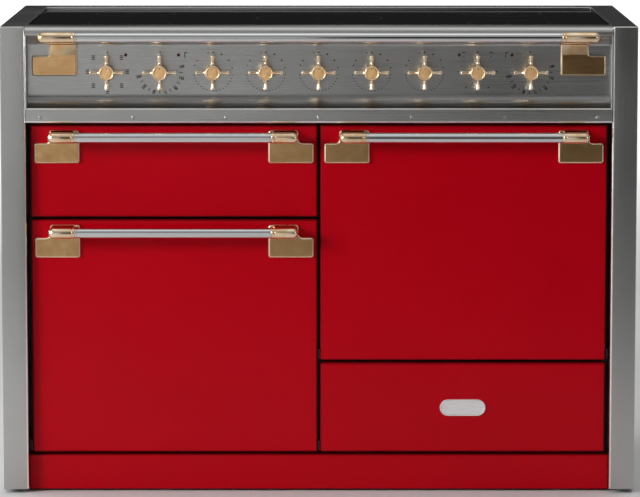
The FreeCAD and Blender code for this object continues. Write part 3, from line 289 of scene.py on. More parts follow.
def brushed(name, base, roughness, stretch, anisotropy, painted_shade_tone):
    """Brushed stainless: fine streaks along the rolling direction in colour, roughness and relief.

    The edge value scales the colour, from a painted highlight on folds at -1 over 1 at 0 to painted shade in
    recesses at 1."""
    made = new_finish(name, {"Metallic": 1.0, "Anisotropic": anisotropy, "Anisotropic Rotation": 0.25})
    streak = grain(made, 1.0, stretch, 6)
    cloud = grain(made, 5)
    steel = ramp(made, streak, (0.25, tuple(0.94 * base)), (0.75, tuple(1.05 * base)))
    # Painted light: below 0 the edge value brightens folds as a painted highlight, above 0 it darkens
    # recesses as painted shade.
    halved = maths(made, "MULTIPLY_ADD", edge_value(made), 0.5, 0.5)
    shade = ramp(made, halved, (0.0, (FOLD_HIGHLIGHT_GAIN,) * 3), (0.5, (1, 1, 1)), (1.0, (painted_shade_tone,) * 3))
    toned = node(made, "ShaderNodeMix", {0: 1.0, 6: steel, 7: shade}, data_type="RGBA", blend_type="MULTIPLY")
    feed(made, "Base Color", toned.outputs[2])
    soft = scaled(made, cloud, roughness - 0.03, roughness + 0.03)
    feed(made, "Roughness", maths(made, "ADD", scaled(made, streak, -0.05, 0.05), soft))
    around = node(made, "ShaderNodeTangent", {}, direction_type="RADIAL", axis="Z")
    feed(made, "Tangent", around.outputs["Tangent"])
    emboss(made, streak, 0.00001)
    return made


# Colour gain of the painted highlight along folds.
FOLD_HIGHLIGHT_GAIN = 1.8
SMALLEST_ROUND = 0.05
HALF = 608
INNER_HALF = 559.5
FRONT = -285
BACK = 327
FRAME_FACE = -220
TOP = 902
LIP_LEVEL = 890
SHEET = 2
FOLD = 2.5
INNER_FOLD = 4
CUT_EDGE = 0.4
FOLD_STEPS = 8
FLANGE_LOW = 900
FLANGE_ROUND = 1.9
cheek_steel = brushed("cheek_stainless", np.array([0.5, 0.5, 0.49]), 0.22, (1600, 1600, 14), 0.0, 1.0)
cheek_section = [(INNER_HALF, FRONT), (HALF, FRONT), (HALF, BACK), (HALF - SHEET, BACK),
                 (HALF - SHEET, FRONT + SHEET), (INNER_HALF + SHEET, FRONT + SHEET),
                 (INNER_HALF + SHEET, FRAME_FACE), (INNER_HALF, FRAME_FACE)]
cheek_folds = [INNER_FOLD, FOLD, CUT_EDGE, CUT_EDGE, FOLD - SHEET, FOLD - SHEET, CUT_EDGE, CUT_EDGE]
# Painted highlight: negative values brighten the flange's rounded edge.
flange_edge_highlight = [0, -0.4, -0.8, -1, -1, -1, 0]
# Painted highlight down the inner front fold.
cheek_fold_highlight = np.zeros((len(cheek_section), FOLD_STEPS))
cheek_fold_highlight[0, 1:-1] = -1
cheek = slab(cheek_section, cheek_folds, [(0, FOOT_HEIGHT), (0, FLANGE_LOW)], "top", FOLD_STEPS,
             cheek_fold_highlight.reshape(-1, 1))
flange = slab(box_corners((INNER_HALF, FRONT), (HALF, BACK)), [INNER_FOLD, FOLD, CUT_EDGE, CUT_EDGE],
              eased(FLANGE_LOW, TOP, FLANGE_ROUND), "top", FOLD_STEPS, flange_edge_highlight)
lip = slab(box_corners((INNER_HALF, FRAME_FACE), (INNER_HALF + SHEET, BACK)), [0.3] * 4,
           [(0, LIP_LEVEL), (0, FLANGE_LOW)], "top")
right_cheek = [cheek, flange, lip]
for side, shells in (("left", mirrored(right_cheek)), ("right", right_cheek)):
    build(f"side_cheek_{side}", shells, cheek_steel, "chassis", "stainless", f"side_panel_{side}")


# Front frame and hinges: pressed steel in satin black enamel, seen only in the gaps between the fronts.
# The enamel is a little thick and uneven, with a soft ripple.
satin_black = new_finish("satin_black_enamel", {"Specular IOR Level": 0.3})
tint(satin_black, grain(satin_black, 30), (0.008, 0.008, 0.009), (0.02, 0.02, 0.022))
roughen(satin_black, grain(satin_black, 90), 0.35, 0.5)
emboss(satin_black, grain(satin_black, 350), 0.00006)
dress(satin_black, "front_frame", "door_hinges")


# Oven and broiler linings, fan covers, pan and door liners: deep blue-black porcelain enamel with the pale
# flecks that are sieved onto it before it is fired. It is hard, glossy and slightly wavy.
FLECK_SIZE = 0.34
porcelain = new_finish("speckled_porcelain", {"Specular IOR Level": 0.5})
fleck_cell = node(porcelain, "ShaderNodeTexVoronoi", {"Vector": own_place(porcelain), "Scale": 190.0})
fleck_pick = node(porcelain, "ShaderNodeRGBToBW", {"Color": fleck_cell.outputs["Color"]}).outputs["Val"]
fleck_reach = maths(porcelain, "MULTIPLY", fleck_pick, FLECK_SIZE)
fleck_near = maths(porcelain, "SUBTRACT", fleck_reach, fleck_cell.outputs["Distance"])
feed(porcelain, "Base Color", ramp(porcelain, fleck_near, (0.03, (0.012, 0.013, 0.02)),
                                   (0.09, (0.32, 0.34, 0.38))))
roughen(porcelain, grain(porcelain, 60), 0.12, 0.24)
emboss(porcelain, grain(porcelain, 220), 0.00008)
dress(porcelain, "left_oven_cavity", "right_oven_cavity", "broiler_cavity", "fan_covers", "broiler_pan",
      "left_oven_door_liner", "right_oven_door_liner")


# Heating elements: nickel-alloy tubes round a resistance wire, dulled to a dark brown-grey by heat, with
# a fine scale on the surface.
sheath = new_finish("element_scale", {"Metallic": 0.7})
feed(sheath, "Base Color", ramp(sheath, grain(sheath, 45), (0.3, (0.045, 0.04, 0.038)),
                                (0.55, (0.1, 0.085, 0.078)), (0.7, (0.15, 0.12, 0.1))))
roughen(sheath, grain(sheath, 160), 0.45, 0.65)
emboss(sheath, grain(sheath, 900), 0.0001)
dress(sheath, "heating_elements")


# Racks, rack guides and broiler grid: welded steel wire with bright chrome plate that has taken a faint
# straw tint from the oven's heat.
plated = new_finish("chromed_wire", {"Metallic": 1.0})
straw = grain(plated, 12)
feed(plated, "Base Color", ramp(plated, straw, (0.35, (0.66, 0.66, 0.67)), (0.68, (0.66, 0.6, 0.49))))
roughen(plated, grain(plated, 240), 0.1, 0.26)
emboss(plated, grain(plated, 700), 0.00003)
dress(plated, "rack_guides", "left_oven_rack", "right_oven_rack", "broiler_grid")


# Door seals: a knitted fibreglass sleeve over a wire core, clipped round each oven mouth on the front frame.
# It is a soft oval cord with a diagonal knit.
DOOR_REAR = -223
SEAL_SLACK = 0.3
SEAL_MARGIN = 6
SEAL_WIDTH = 10
SEAL_STEPS = 14
COLUMN_OUT = 552
COLUMN_IN = 3
CAVITY_SIDE = 55
MOUTHS = (((-COLUMN_OUT, 122.5), (-COLUMN_IN, 491.5)), ((COLUMN_IN, 302), (COLUMN_OUT, 674)))
knit = new_finish("knitted_fibreglass", {"Specular IOR Level": 0.2, "Roughness": 0.85})
knit_wave = node(knit, "ShaderNodeTexWave", {"Vector": own_place(knit), "Scale": 190.0, "Distortion": 0.6},
                 bands_direction="DIAGONAL").outputs["Fac"]
feed(knit, "Base Color", ramp(knit, knit_wave, (0.1, (0.018, 0.018, 0.018)), (0.9, (0.075, 0.073, 0.07))))
emboss(knit, knit_wave, 0.0004)
seal_angle = np.linspace(0, 2 * np.pi, SEAL_STEPS, endpoint=False)
seal_depth = (FRAME_FACE - DOOR_REAR - SEAL_SLACK) / 2
seal_profile = np.stack([-SEAL_WIDTH / 2 * (1 + np.cos(seal_angle)),
                         FRAME_FACE - seal_depth * (1 - np.sin(seal_angle))], axis=1)
seals = []
for (low_x, low_z), (high_x, high_z) in MOUTHS:
    inner = box_corners((low_x + CAVITY_SIDE - SEAL_MARGIN, low_z - SEAL_MARGIN),
                        (high_x - CAVITY_SIDE + SEAL_MARGIN, high_z + SEAL_MARGIN))
    seals.append(slab(inner, [4] * 4, seal_profile, "front", 8, ring=True))
build("knitted_seals", seals, knit, "chassis", "seal_rubber", "oven_door_seals")


# Fronts: the two oven doors, the broiler front and the storage front are pressed steel pans in deep red
# vitreous enamel. The enamel is glossy with a faint orange peel, and burns darker where it thins at edges.
def red_enamel(name):
    """Fired red enamel: colour drifts slowly, edges are darker, gloss varies a little."""
    made = new_finish(name, {"Specular IOR Level": 0.09})
    shade = maths(made, "ADD", edge_value(made), scaled(made, grain(made, 4), -0.12, 0.12))
    feed(made, "Base Color", ramp(made, shade, (0.0, (0.46, 0.0004, 0.007)), (0.2, (0.43, 0.0004, 0.006)),
                                  (1.0, (0.2, 0.001, 0.004))))
    roughen(made, grain(made, 25), 0.09, 0.17)
    emboss(made, grain(made, 240, detail=1), 0.000035)
    return made


def pressed_pan(low, high, rear, face, radius):
    """Shallow pan: a rim of one sheet's thickness round a flat face with eased edges."""
    inside = [(SHEET + 1, face + SHEET), (SHEET, face + SHEET), (SHEET, rear)]
    profile = np.concatenate([inside, eased(rear, face, radius, 6, 1.5)])
    return slab(box_corners(low, high), [radius] * 4, profile, "front", wear_and_light=PAN_WEAR)


DOOR_FACE = -265
SKIN_REAR = -243
EDGE_ROUND = 3
PAN_WEAR = [0, 0, 0.6, 0.6, 0.4, 0.6, 0.9, 0.9, 0.6, 0.35, 0]
FRONT_LIMITS = {
    "left_oven_door_panel": ("left_oven_door", (-COLUMN_OUT, 77.5), (-COLUMN_IN, 529.5)),
    "right_oven_door_panel": ("right_oven_door", (COLUMN_IN, 257), (COLUMN_OUT, 712)),
    "broiler_front": ("broiler_drawer", (-COLUMN_OUT, 535.5), (-COLUMN_IN, 712)),
    "storage_front": ("storage_drawer", (COLUMN_IN, 77.5), (COLUMN_OUT, 251)),
}
fired_red = red_enamel("fired_red_enamel")
for front, (body, low, high) in FRONT_LIMITS.items():
    skin = pressed_pan(low, high, SKIN_REAR, DOOR_FACE, EDGE_ROUND)
    build(f"{front}_enamel", [skin], fired_red, body, "red_enamel", front)


# Kick plate: a shallow red pan between the cheeks under the fronts, hung from the base tray, with the same
# enamel and pressed edges.
KICK_FACE = -264
KICK_LOW = 4
KICK_HIGH = 71.5
KICK_ROUND = 2
kick = pressed_pan((-INNER_HALF, KICK_LOW), (INNER_HALF, KICK_HIGH), FRAME_FACE, KICK_FACE, KICK_ROUND)
build("kick_enamel", [kick], fired_red, "chassis", "red_enamel", "kick_plate")


# Handle brackets: cast and polished brass, screwed to each front from behind. A stepped plate with rounded
# corners and a bevelled rim carries a short arm and a domed socket for the bar.
def polished_brass(name):
    """Polished brass: hairlines, faint tarnish clouds, and paler, softer places, partly where hands rub it
    and partly painted highlight.
    """
    made = new_finish(name, {"Metallic": 1.0})
    # Higher values make the brass paler: wear where hands rub, and a painted highlight on bevels, sockets and
    # neck sides.
    wear_and_highlight = edge_value(made)
    bright = maths(made, "ADD", wear_and_highlight, scaled(made, grain(made, 40), 0.0, 0.5))
    feed(made, "Base Color", ramp(made, bright, (0.0, (0.66, 0.38, 0.16)), (0.4, (0.76, 0.46, 0.21)),
                                  (1.0, (0.95, 0.79, 0.57))))
    hairline = grain(made, 1.0, (40, 900, 900), 4)
    dulled = maths(made, "POWER", wear_and_highlight, DULL_POWER)
    soft = maths(made, "MULTIPLY_ADD", dulled, DULL_DEPTH, scaled(made, hairline, 0.13, 0.23))
    feed(made, "Roughness", soft)
    emboss(made, hairline, 0.000012)
    return made


def smooth_curve(stops, steps):
    """Catmull-Rom curve: each span is the cubic whose end slopes are half the chord of its neighbours."""
    stop = np.asarray(stops, float)
    stop = np.concatenate([2 * stop[:1] - stop[1:2], stop, 2 * stop[-1:] - stop[-2:-1]])
    t = np.linspace(0, 1, steps, endpoint=False)[None, :, None]
    a, b, c, d = stop[:-3, None], stop[1:-2, None], stop[2:-1, None], stop[3:, None]
    cubic = b + 0.5 * t * (c - a + t * (2 * a - 5 * b + 4 * c - d + t * (3 * (b - c) + d - a)))
    return np.concatenate([cubic.reshape(-1, stop.shape[1]), stop[-2:-1]])


def socket_profile(length):
    """Turned socket: a half-ball end, a straight barrel, and a groove with a rolled ring at the open end."""
    angle = np.linspace(0.02, np.pi / 2, 12)
    dome = FERRULE_RADIUS * np.stack([np.sin(angle), 1 - np.cos(angle)], axis=1)
    ring = [(0, -7), (-0.2, -6.6), (-0.9, -6.2), (-0.9, -5.4), (-0.2, -5), (0, -4.5), (0, -1), (-0.5, -0.2),
            (-0.9, 0)]
    return np.concatenate([dome, np.array(ring) + (FERRULE_RADIUS, length)])


def bevelled(rear, front):
    """Profile of a plate's wall with a flat bevel and a softened break at both of the bevel's edges."""
    side = np.sign(front - rear)
    return [(0, rear), (0, front - side * (PLATE_BEVEL + 0.3)), (0.15, front - side * PLATE_BEVEL),
            (PLATE_BEVEL, front - side * 0.15), (PLATE_BEVEL + 0.3, front), (PLATE_BEVEL + 1.3, front)]


def moved(shells, offset):
    """The same shells, shifted by an offset in mm."""
    return [(grid + np.array(offset), wear_and_light, ring) for grid, wear_and_light, ring in shells]


DULL_POWER = 4.0
DULL_DEPTH = 0.2
FERRULE_RADIUS = 10.7
FERRULE_LENGTH = 51
# The whole socket is made paler as a painted highlight.
FERRULE_HIGHLIGHT = 0.6
BAR_Y = -310
PLATE_WIDTH = 87
PLATE_HEIGHT = 64
PLATE_LOW = 39
PLATE_STEP = 29
PLATE_THICKNESS = 7
PLATE_ROUND = 5
STEP_FILLET = 8
PLATE_BEVEL = 2.4
PLATE_RISE = 11
# Paler bevel: partly wear, partly painted highlight.
PLATE_WEAR_AND_HIGHLIGHT = [0, 0.35, 0.9, 0.9, 0.6, 0]
ARM_INSET = 5
ARM_HALF = 7.5
BRACKET_INSET = 7
BAR_DROP = 20
HANDLES = {"broiler": ("broiler_drawer", -COLUMN_OUT, -COLUMN_IN, 712),
           "left_oven": ("left_oven_door", -COLUMN_OUT, -COLUMN_IN, 529.5),
           "right_oven": ("right_oven_door", COLUMN_IN, COLUMN_OUT, 712)}
brass = polished_brass("polished_brass")
plate_corners = [(0, 0), (PLATE_WIDTH, 0), (PLATE_WIDTH, PLATE_HEIGHT), (PLATE_STEP, PLATE_HEIGHT),
                 (PLATE_STEP, PLATE_LOW), (0, PLATE_LOW)]
plate_radii = [PLATE_ROUND, PLATE_ROUND, PLATE_ROUND, PLATE_ROUND, STEP_FILLET, PLATE_ROUND]
bar_level = PLATE_HEIGHT - PLATE_RISE
arm_corners = box_corners((PLATE_STEP + ARM_INSET, bar_level - ARM_HALF),
                          (PLATE_STEP + FERRULE_LENGTH - ARM_INSET, bar_level + ARM_HALF))
plate_front = DOOR_FACE - PLATE_THICKNESS
arm_profile = [(-3, plate_front + 0.4), (-2.4, plate_front - 0.8), (-1.2, plate_front - 2.4),
               (-0.4, plate_front - 4.5), (0, plate_front - 8), (0, BAR_Y)]
bracket = [slab(plate_corners, plate_radii, bevelled(DOOR_FACE, plate_front), "front", 8, PLATE_WEAR_AND_HIGHLIGHT),
           slab(arm_corners, [3] * 4, arm_profile, "front", 5),
           turned(socket_profile(FERRULE_LENGTH), (PLATE_STEP, BAR_Y, bar_level), "x", 44, FERRULE_HIGHLIGHT)]
for handle, (body, low_x, high_x, top) in HANDLES.items():
    reach = (high_x - low_x) / 2 - BRACKET_INSET
    left_bracket = moved(bracket, (-reach, 0, top - BAR_DROP - bar_level))
    pair = moved(left_bracket + mirrored(left_bracket), ((low_x + high_x) / 2, 0, 0))
    build(f"{handle}_cast_brackets", pair, brass, body, "brass", f"{handle}_handle_brackets")


# Handle bars and hand rail: polished stainless rod, turned down at both ends to enter the brass sockets,
# with a fine groove beside each socket.
def polished_rod(name):
    """Polished steel: nearly mirror-like, with hairlines along the bar and faint finger haze."""
    made = new_finish(name, {"Metallic": 1.0})
    hairline = grain(made, 1.0, (6, 1800, 1800), 4)
    haze = scaled(made, grain(made, 14), -0.02, 0.02)
    tint(made, hairline, (0.66, 0.67, 0.68), (0.76, 0.76, 0.77))
    feed(made, "Roughness", maths(made, "ADD", haze, scaled(made, hairline, 0.05, 0.09)))
    emboss(made, hairline, 0.000008)
    return made


def rod(low_x, high_x, axis_y, axis_z):
    """Round bar along x: radius by distance from the ends, with spigots, an eased shoulder and a groove."""
    end = [(AXIS, -SPIGOT_LENGTH), (SPIGOT_RADIUS - 0.6, -SPIGOT_LENGTH),
           (SPIGOT_RADIUS, 0.6 - SPIGOT_LENGTH), (SPIGOT_RADIUS, 0), (BAR_RADIUS - 0.5, 0), (BAR_RADIUS, 0.5),
           (BAR_RADIUS, 3), (BAR_RADIUS - 0.4, 3.4), (BAR_RADIUS - 0.4, 4), (BAR_RADIUS, 4.4),
           (BAR_RADIUS, 8)]
    near = np.array(end) + (0, low_x)
    far = np.array(end)[::-1] * (1, -1) + (0, high_x)
    return turned(np.concatenate([near, far]), (0, axis_y, axis_z), "x", 64)


BAR_RADIUS = 10
SPIGOT_RADIUS = 6
SPIGOT_LENGTH = 14
rod_steel = polished_rod("polished_rod_steel")
hold = BRACKET_INSET + PLATE_STEP + FERRULE_LENGTH
for handle, (body, low_x, high_x, top) in HANDLES.items():
    bar = rod(low_x + hold, high_x - hold, BAR_Y, top - BAR_DROP)
    build(f"{handle}_bar", [bar], rod_steel, body, "polished_steel", f"{handle}_handle_bar")


# Badge plate: a stadium of satin nickel silver on the storage front, pressed with a raised rim round a bare
# field, and held by two studs from behind.
BADGE_HALF_WIDTH = 44
BADGE_HALF_HEIGHT = 16
BADGE_FRONT = -268
BADGE_MIDDLE = np.array([277.5, 164.25])
satin_silver = new_finish("satin_nickel_silver", {"Metallic": 0.3})
silver_streak = grain(satin_silver, 1.0, (30, 1500, 1500), 4)
tint(satin_silver, silver_streak, (0.74, 0.73, 0.73), (0.84, 0.83, 0.83))
roughen(satin_silver, silver_streak, 0.26, 0.36)
emboss(satin_silver, silver_streak, 0.00002)
badge_half = np.array([BADGE_HALF_WIDTH, BADGE_HALF_HEIGHT])
badge_corners = box_corners(BADGE_MIDDLE - badge_half, BADGE_MIDDLE + badge_half)
badge_rim = [(0, 0.8), (0.3, 0.25), (0.9, 0), (1.7, 0), (2.3, 0.25), (2.6, 0.9), (3.2, 1.1), (4.4, 1.1)]
badge_profile = [(0, DOOR_FACE)] + [(inset, BADGE_FRONT + depth) for inset, depth in badge_rim]
badge = slab(badge_corners, [BADGE_HALF_HEIGHT - 0.01] * 4, badge_profile, "front", 16)
build("bare_badge", [badge], satin_silver, "storage_drawer", "silver_badge", "badge_plate")


# Control fascia: one stainless sheet folded to a round nose, a sloped band, a recessed knob face, a cove
# and a screwed lip, with a thin plate welded over each end. It is brushed along the width; painted shade
# darkens the cove and a painted highlight brightens the lip's folds.
HOB_FRONT = -235
FASCIA_FRONT = -287
FACE = -257
FACE_REAR = -255
BAND_LOW = 886
FACE_HIGH = 866
LIP_HIGH = 746.5
FASCIA_LOW = 718
SILL_REAR = -245
NOSE_ROUND = 13.5
COVE_ROUND = 26
COVE_STEPS = 12
COVE_CORNER = 4
# Curve of the painted shade across the cove.
COVE_SHADE_FALL = 0.7
LIP_FOLDS = [5, 6]
END_PLATE = 2.6
# Its last value is the tone of the painted shade at the bottom of the cove.
panel_steel = brushed("panel_stainless", np.array([0.55, 0.55, 0.54]), 0.3, (6, 1500, 1500), 0.7, 0.1)
fascia_section = [
    (HOB_FRONT, TOP), (FASCIA_FRONT, TOP), (FASCIA_FRONT, BAND_LOW), (FACE, FACE_HIGH), (FACE, LIP_HIGH),
    (FASCIA_FRONT, LIP_HIGH), (FASCIA_FRONT, FASCIA_LOW), (SILL_REAR, FASCIA_LOW),
    (SILL_REAR, FASCIA_LOW + SHEET), (FASCIA_FRONT + SHEET, FASCIA_LOW + SHEET),
    (FASCIA_FRONT + SHEET, LIP_HIGH - SHEET), (FACE_REAR, LIP_HIGH - SHEET),
    (FACE_REAR, FACE_HIGH + SHEET / 2), (FASCIA_FRONT + SHEET, BAND_LOW + SHEET / 2),
    (FASCIA_FRONT + SHEET, TOP - SHEET), (HOB_FRONT - SHEET, TOP - SHEET), (HOB_FRONT - SHEET, LIP_LEVEL),
    (HOB_FRONT, LIP_LEVEL)]
fascia_folds = [0.8, NOSE_ROUND, 2, 5, COVE_ROUND, 3, 4, 0.3, 0.3, 2, 1, COVE_ROUND + SHEET, 3, 0.5,
                NOSE_ROUND - SHEET, 0.3, 0.3, 0.3]
# Painted shade across the cove, deepest at the ledge, and a painted highlight along the lip's two folds.
fascia_painted_light = np.zeros((len(fascia_section), COVE_STEPS))
fascia_painted_light[COVE_CORNER] = np.linspace(0, 1, COVE_STEPS) ** COVE_SHADE_FALL
fascia_painted_light[LIP_FOLDS, 1:-1] = -1
fascia_run = slab(fascia_section, fascia_folds, [(0, -INNER_HALF), (0, INNER_HALF)], "side", COVE_STEPS,
                  fascia_painted_light.reshape(-1, 1))
fascia_end = slab(box_corners((INNER_HALF - END_PLATE, LIP_HIGH - 4), (INNER_HALF, BAND_LOW + 2)), [0.6] * 4,
                  eased(FACE_REAR, FASCIA_FRONT + 0.2, 1.1, guard=0.1), "front")
build("folded_fascia", [fascia_run, fascia_end] + mirrored([fascia_end]), panel_steel, "chassis", "stainless",
      "control_fascia")


# Fascia screws: seven button-head stainless screws in a row along the lip, each with a small round recess
# for the driver.
SCREW_LEVEL = 729
SCREW_PITCH = 531.5 / 3
SCREW_HEAD = 3.6
SCREW_SHANK = 1.9
screw_steel = new_finish("screw_stainless", {"Metallic": 1.0})
screw_turn = grain(screw_steel, 900)
tint(screw_steel, screw_turn, (0.44,) * 3, (0.58,) * 3)
roughen(screw_steel, screw_turn, 0.34, 0.46)
emboss(screw_steel, screw_turn, 0.00002)
screw_profile = [(AXIS, 12), (SCREW_SHANK, 12), (SCREW_SHANK, 0), (SCREW_HEAD, 0), (SCREW_HEAD, -0.3),
                 (3.2, -0.9), (2.5, -1.4), (1.7, -1.6), (1.5, -1.55), (1.45, -0.4), (AXIS, -0.4)]
screws = [turned(screw_profile, (SCREW_PITCH * step, FASCIA_FRONT, SCREW_LEVEL), "y", 24)
          for step in range(-3, 4)]
build("button_screws", screws, screw_steel, "chassis", "polished_steel", "fascia_screws")


# Indicator lamps: four small domed lenses of deep red polycarbonate, snapped through the knob face beside
# the oven and broiler knobs.
LAMP_LEVEL = 846
LAMP_RADIUS = 3.2
LAMP_PLACES = (-369, -268, 268, 369)
red_lens = new_finish("red_lens", {"Roughness": 0.12, "Specular IOR Level": 0.5})
tint(red_lens, grain(red_lens, 700), (0.035, 0.004, 0.004), (0.07, 0.006, 0.006))
emboss(red_lens, grain(red_lens, 1500), 0.00003)
lamp_profile = [(AXIS, 7.5), (LAMP_RADIUS, 7.5), (LAMP_RADIUS, -0.4), (LAMP_RADIUS - 0.3, -0.8), (2.3, -1.2),
                (1.2, -1.45), (AXIS, -1.5)]
lamps = [turned(lamp_profile, (x, FACE, LAMP_LEVEL), "y", 28) for x in LAMP_PLACES]
build("lamp_lenses", lamps, red_lens, "chassis", "red_lens", "indicator_lamps")


# Dial marks: black ceramic ink printed on the knob face, a thin raised film. Rings of dots run round the
# zone knobs, the oven knobs have numbers and ticks, and the mode and broiler knobs have small plain signs.
def ring_place(knob, clockwise, radius):
    """Middle and outward direction of a mark at a clockwise angle (degrees) from the top of a knob."""
    turn = math.radians(clockwise)
    outward = np.array([math.sin(turn), math.cos(turn)])
    return np.array([KNOB_PITCH * (knob - MIDDLE_KNOB), KNOB_LEVEL]) + radius * outward, outward


def stamp(outline, spot, outward):
    """Thin prism of an outline whose second axis points along outward and whose first lies across it."""
    shape = np.asarray(outline, float)
    across = np.array([outward[1], -outward[0]])
    x, z = (spot + shape[:, :1] * across + shape[:, 1:] * outward).T
    rows = [np.stack([x, np.full_like(x, level), z], axis=1) for level in (INK_ROOT, INK_FRONT)]
    mark_shells.append((np.stack(rows), 0.0, False))


def dot(radius, count=12):
    """Outline of a round dot."""
    angle = np.linspace(0, 2 * np.pi, count, endpoint=False)
    return radius * np.stack([np.cos(angle), np.sin(angle)], axis=1)


def figure(text, spot, outward):
    """Sets a number in the face's plane, reading along outward, from Blender's own type as a mesh."""
    curve = bpy.data.curves.new("dial_figure", "FONT")
    curve.body = text
    curve.size = FIGURE_SIZE
    curve.extrude = FIGURE_FILM
    curve.offset = FIGURE_WEIGHT
    curve.align_x = "CENTER"
    curve.align_y = "CENTER"
    holder = bpy.data.objects.new("dial_figure", curve)
    shape = bpy.data.meshes.new_from_object(holder)
    flat = np.empty(len(shape.vertices) * 3)
    shape.vertices.foreach_get("co", flat)
    flat = flat.reshape(-1, 3)
    reading = outward if outward[0] >= 0 else -outward
    upward = np.array([-reading[1], reading[0]])
    plane = spot + flat[:, :1] * reading + flat[:, 1:2] * upward
    start = sum(len(group) for group in figure_points)
    figure_points.append(np.stack([plane[:, 0], INK_FRONT + FIGURE_FILM - flat[:, 2], plane[:, 1]], axis=1))
    figure_faces.extend([[start + corner for corner in face.vertices] for face in shape.polygons])
    bpy.data.objects.remove(holder)
    bpy.data.meshes.remove(shape)
    bpy.data.curves.remove(curve)


KNOB_LEVEL = 814
KNOB_PITCH = 101
MIDDLE_KNOB = 4
INK_ROOT = FACE + 0.1
INK_FRONT = FACE - 0.06
FIGURE_SIZE = 7.0
FIGURE_FILM = 0.05
FIGURE_WEIGHT = 0.34
DOT_RING = 37
SIGN_RING = 38
TICK_RING = 40
FIGURE_RING = 42
HEATS = range(100, 251, 25)
FIRST_FIGURE = 77
FIRST_TICK = 92
MARK_STEP = 30
STEM_OUT = 47
STEM_RISE = 32
SIGN_DROP = 4
TICK = box_corners((-0.65, -3.4), (0.65, 3.4))
BAR_SIGN = [box_corners((-3.2, level - 0.9), (3.2, level + 0.9)) for level in (-3.3, 0, 3.3)]
STEM_SIGN = [box_corners((-0.8, -6), (0.8, 5)), box_corners((-0.8, 4), (4.4, 5.6))]
DOT_SIZES = {0: 1.7, -15: 1.3, 26: 1.7, 54: 1.6, 78: 1.4, -55: 1.5, -71: 1.4}
TOP_DOT = dot(1.5)
RING_DOT = dot(1.1)
UPRIGHT = np.array([0, 1])
ink = new_finish("black_ink", {"Specular IOR Level": 0.2, "Roughness": 0.6})
tint(ink, grain(ink, 1200), (0.01, 0.01, 0.011), (0.035, 0.035, 0.036))
mark_shells, figure_points, figure_faces = [], [], []
for knob in range(2, 7):
    for clockwise, size in DOT_SIZES.items():
        stamp(dot(size), *ring_place(knob, clockwise, DOT_RING))
    for clockwise in range(100, 270, 10):
        stamp(RING_DOT, *ring_place(knob, clockwise, DOT_RING))
for knob, lamp_side in ((1, 1), (8, -1)):
    stamp(TOP_DOT, *ring_place(knob, 0, DOT_RING))
    for step, heat in enumerate(HEATS):
        figure(str(heat), *ring_place(knob, FIRST_FIGURE + MARK_STEP * step, FIGURE_RING))
    for step in range(len(HEATS) - 1):
        stamp(TICK, *ring_place(knob, FIRST_TICK + MARK_STEP * step, TICK_RING))
    for line in STEM_SIGN:
        stamp(line, ring_place(knob, 0, 0)[0] + (STEM_OUT * lamp_side, STEM_RISE), UPRIGHT)
stamp(TOP_DOT, *ring_place(0, 0, DOT_RING))
for clockwise in range(45, 360, 45):
    for line in BAR_SIGN:
        stamp(line, ring_place(0, clockwise, SIGN_RING)[0], UPRIGHT)
for clockwise in (-38, 38):
    spot = ring_place(7, clockwise, FIGURE_RING)[0]
    stamp(BAR_SIGN[2], spot, UPRIGHT)
    stamp(RING_DOT, spot - (0, SIGN_DROP), UPRIGHT)
for clockwise in (0, 90, 145, 215, 270):
    stamp(TOP_DOT, *ring_place(7, clockwise, DOT_RING))
build("dial_marks", mark_shells, ink, "chassis", "black_enamel")
figures = np.concatenate(figure_points)
place_mesh("dial_figures", figures, figure_faces, np.zeros(len(figures)), ink, "chassis", "black_enamel")


# Hand rail: the long polished bar over the fascia. Each brass bracket has a bevelled stepped plate on the
# knob face, whose tab bends forward twice to meet a domed socket.
RAIL_Y = -316.3
RAIL_Z = 883.5
RAIL_FERRULE = 71
RAIL_PLATE_LOW = 806
RAIL_PLATE_HIGH = 845
TAB_STEP = 33.5
TAB_TOP = 850
RAIL_INSET = 11
NECK_LOW = 836
# Paler rounded sides of the neck: partly wear, partly painted highlight.
NECK_WEAR_AND_HIGHLIGHT = [0.8, 1, 1, 0.35, 0.35, 1, 1, 0.8]
rail_edge = -INNER_HALF + RAIL_INSET
rail_inner = rail_edge + PLATE_WIDTH
rail_corners = [(rail_edge + 0.3, RAIL_PLATE_LOW), (rail_inner, RAIL_PLATE_LOW), (rail_inner, TAB_TOP),
                (rail_edge + TAB_STEP, TAB_TOP), (rail_edge + TAB_STEP, RAIL_PLATE_HIGH),
                (rail_edge + 0.3, RAIL_PLATE_HIGH)]
rail_plate = slab(rail_corners, [PLATE_ROUND, PLATE_ROUND, 1, 0.3, 4, PLATE_ROUND],
                  bevelled(FACE, FACE - PLATE_THICKNESS), "front", 8, PLATE_WEAR_AND_HIGHLIGHT)
neck_front = FACE - PLATE_THICKNESS + 0.1
neck_section = [(FACE, NECK_LOW), (FACE, 852), (-262, 866), (RAIL_Y + 8, RAIL_Z + 3), (RAIL_Y, RAIL_Z + 3),
                (RAIL_Y, RAIL_Z - 9), (neck_front - 2.5, 867), (neck_front, 846), (neck_front, NECK_LOW)]
neck_rounds = [0.3, 6, 4, 2, 2, 2, 4, 8, 0.3]
neck_left = rail_edge + TAB_STEP
neck_right = rail_inner - 0.2
neck_levels = [(1.9, neck_left), (1.6, neck_left + 0.15), (0.15, neck_left + 1.6), (0, neck_left + 2),
               (0, neck_right - 2), (0.15, neck_right - 1.6), (1.6, neck_right - 0.15), (1.9, neck_right)]
neck = slab(neck_section, neck_rounds, neck_levels, "side", 7, NECK_WEAR_AND_HIGHLIGHT)
rail_socket = turned(socket_profile(RAIL_FERRULE), (rail_inner - RAIL_FERRULE, RAIL_Y, RAIL_Z), "x", 44,
                     FERRULE_HIGHLIGHT)
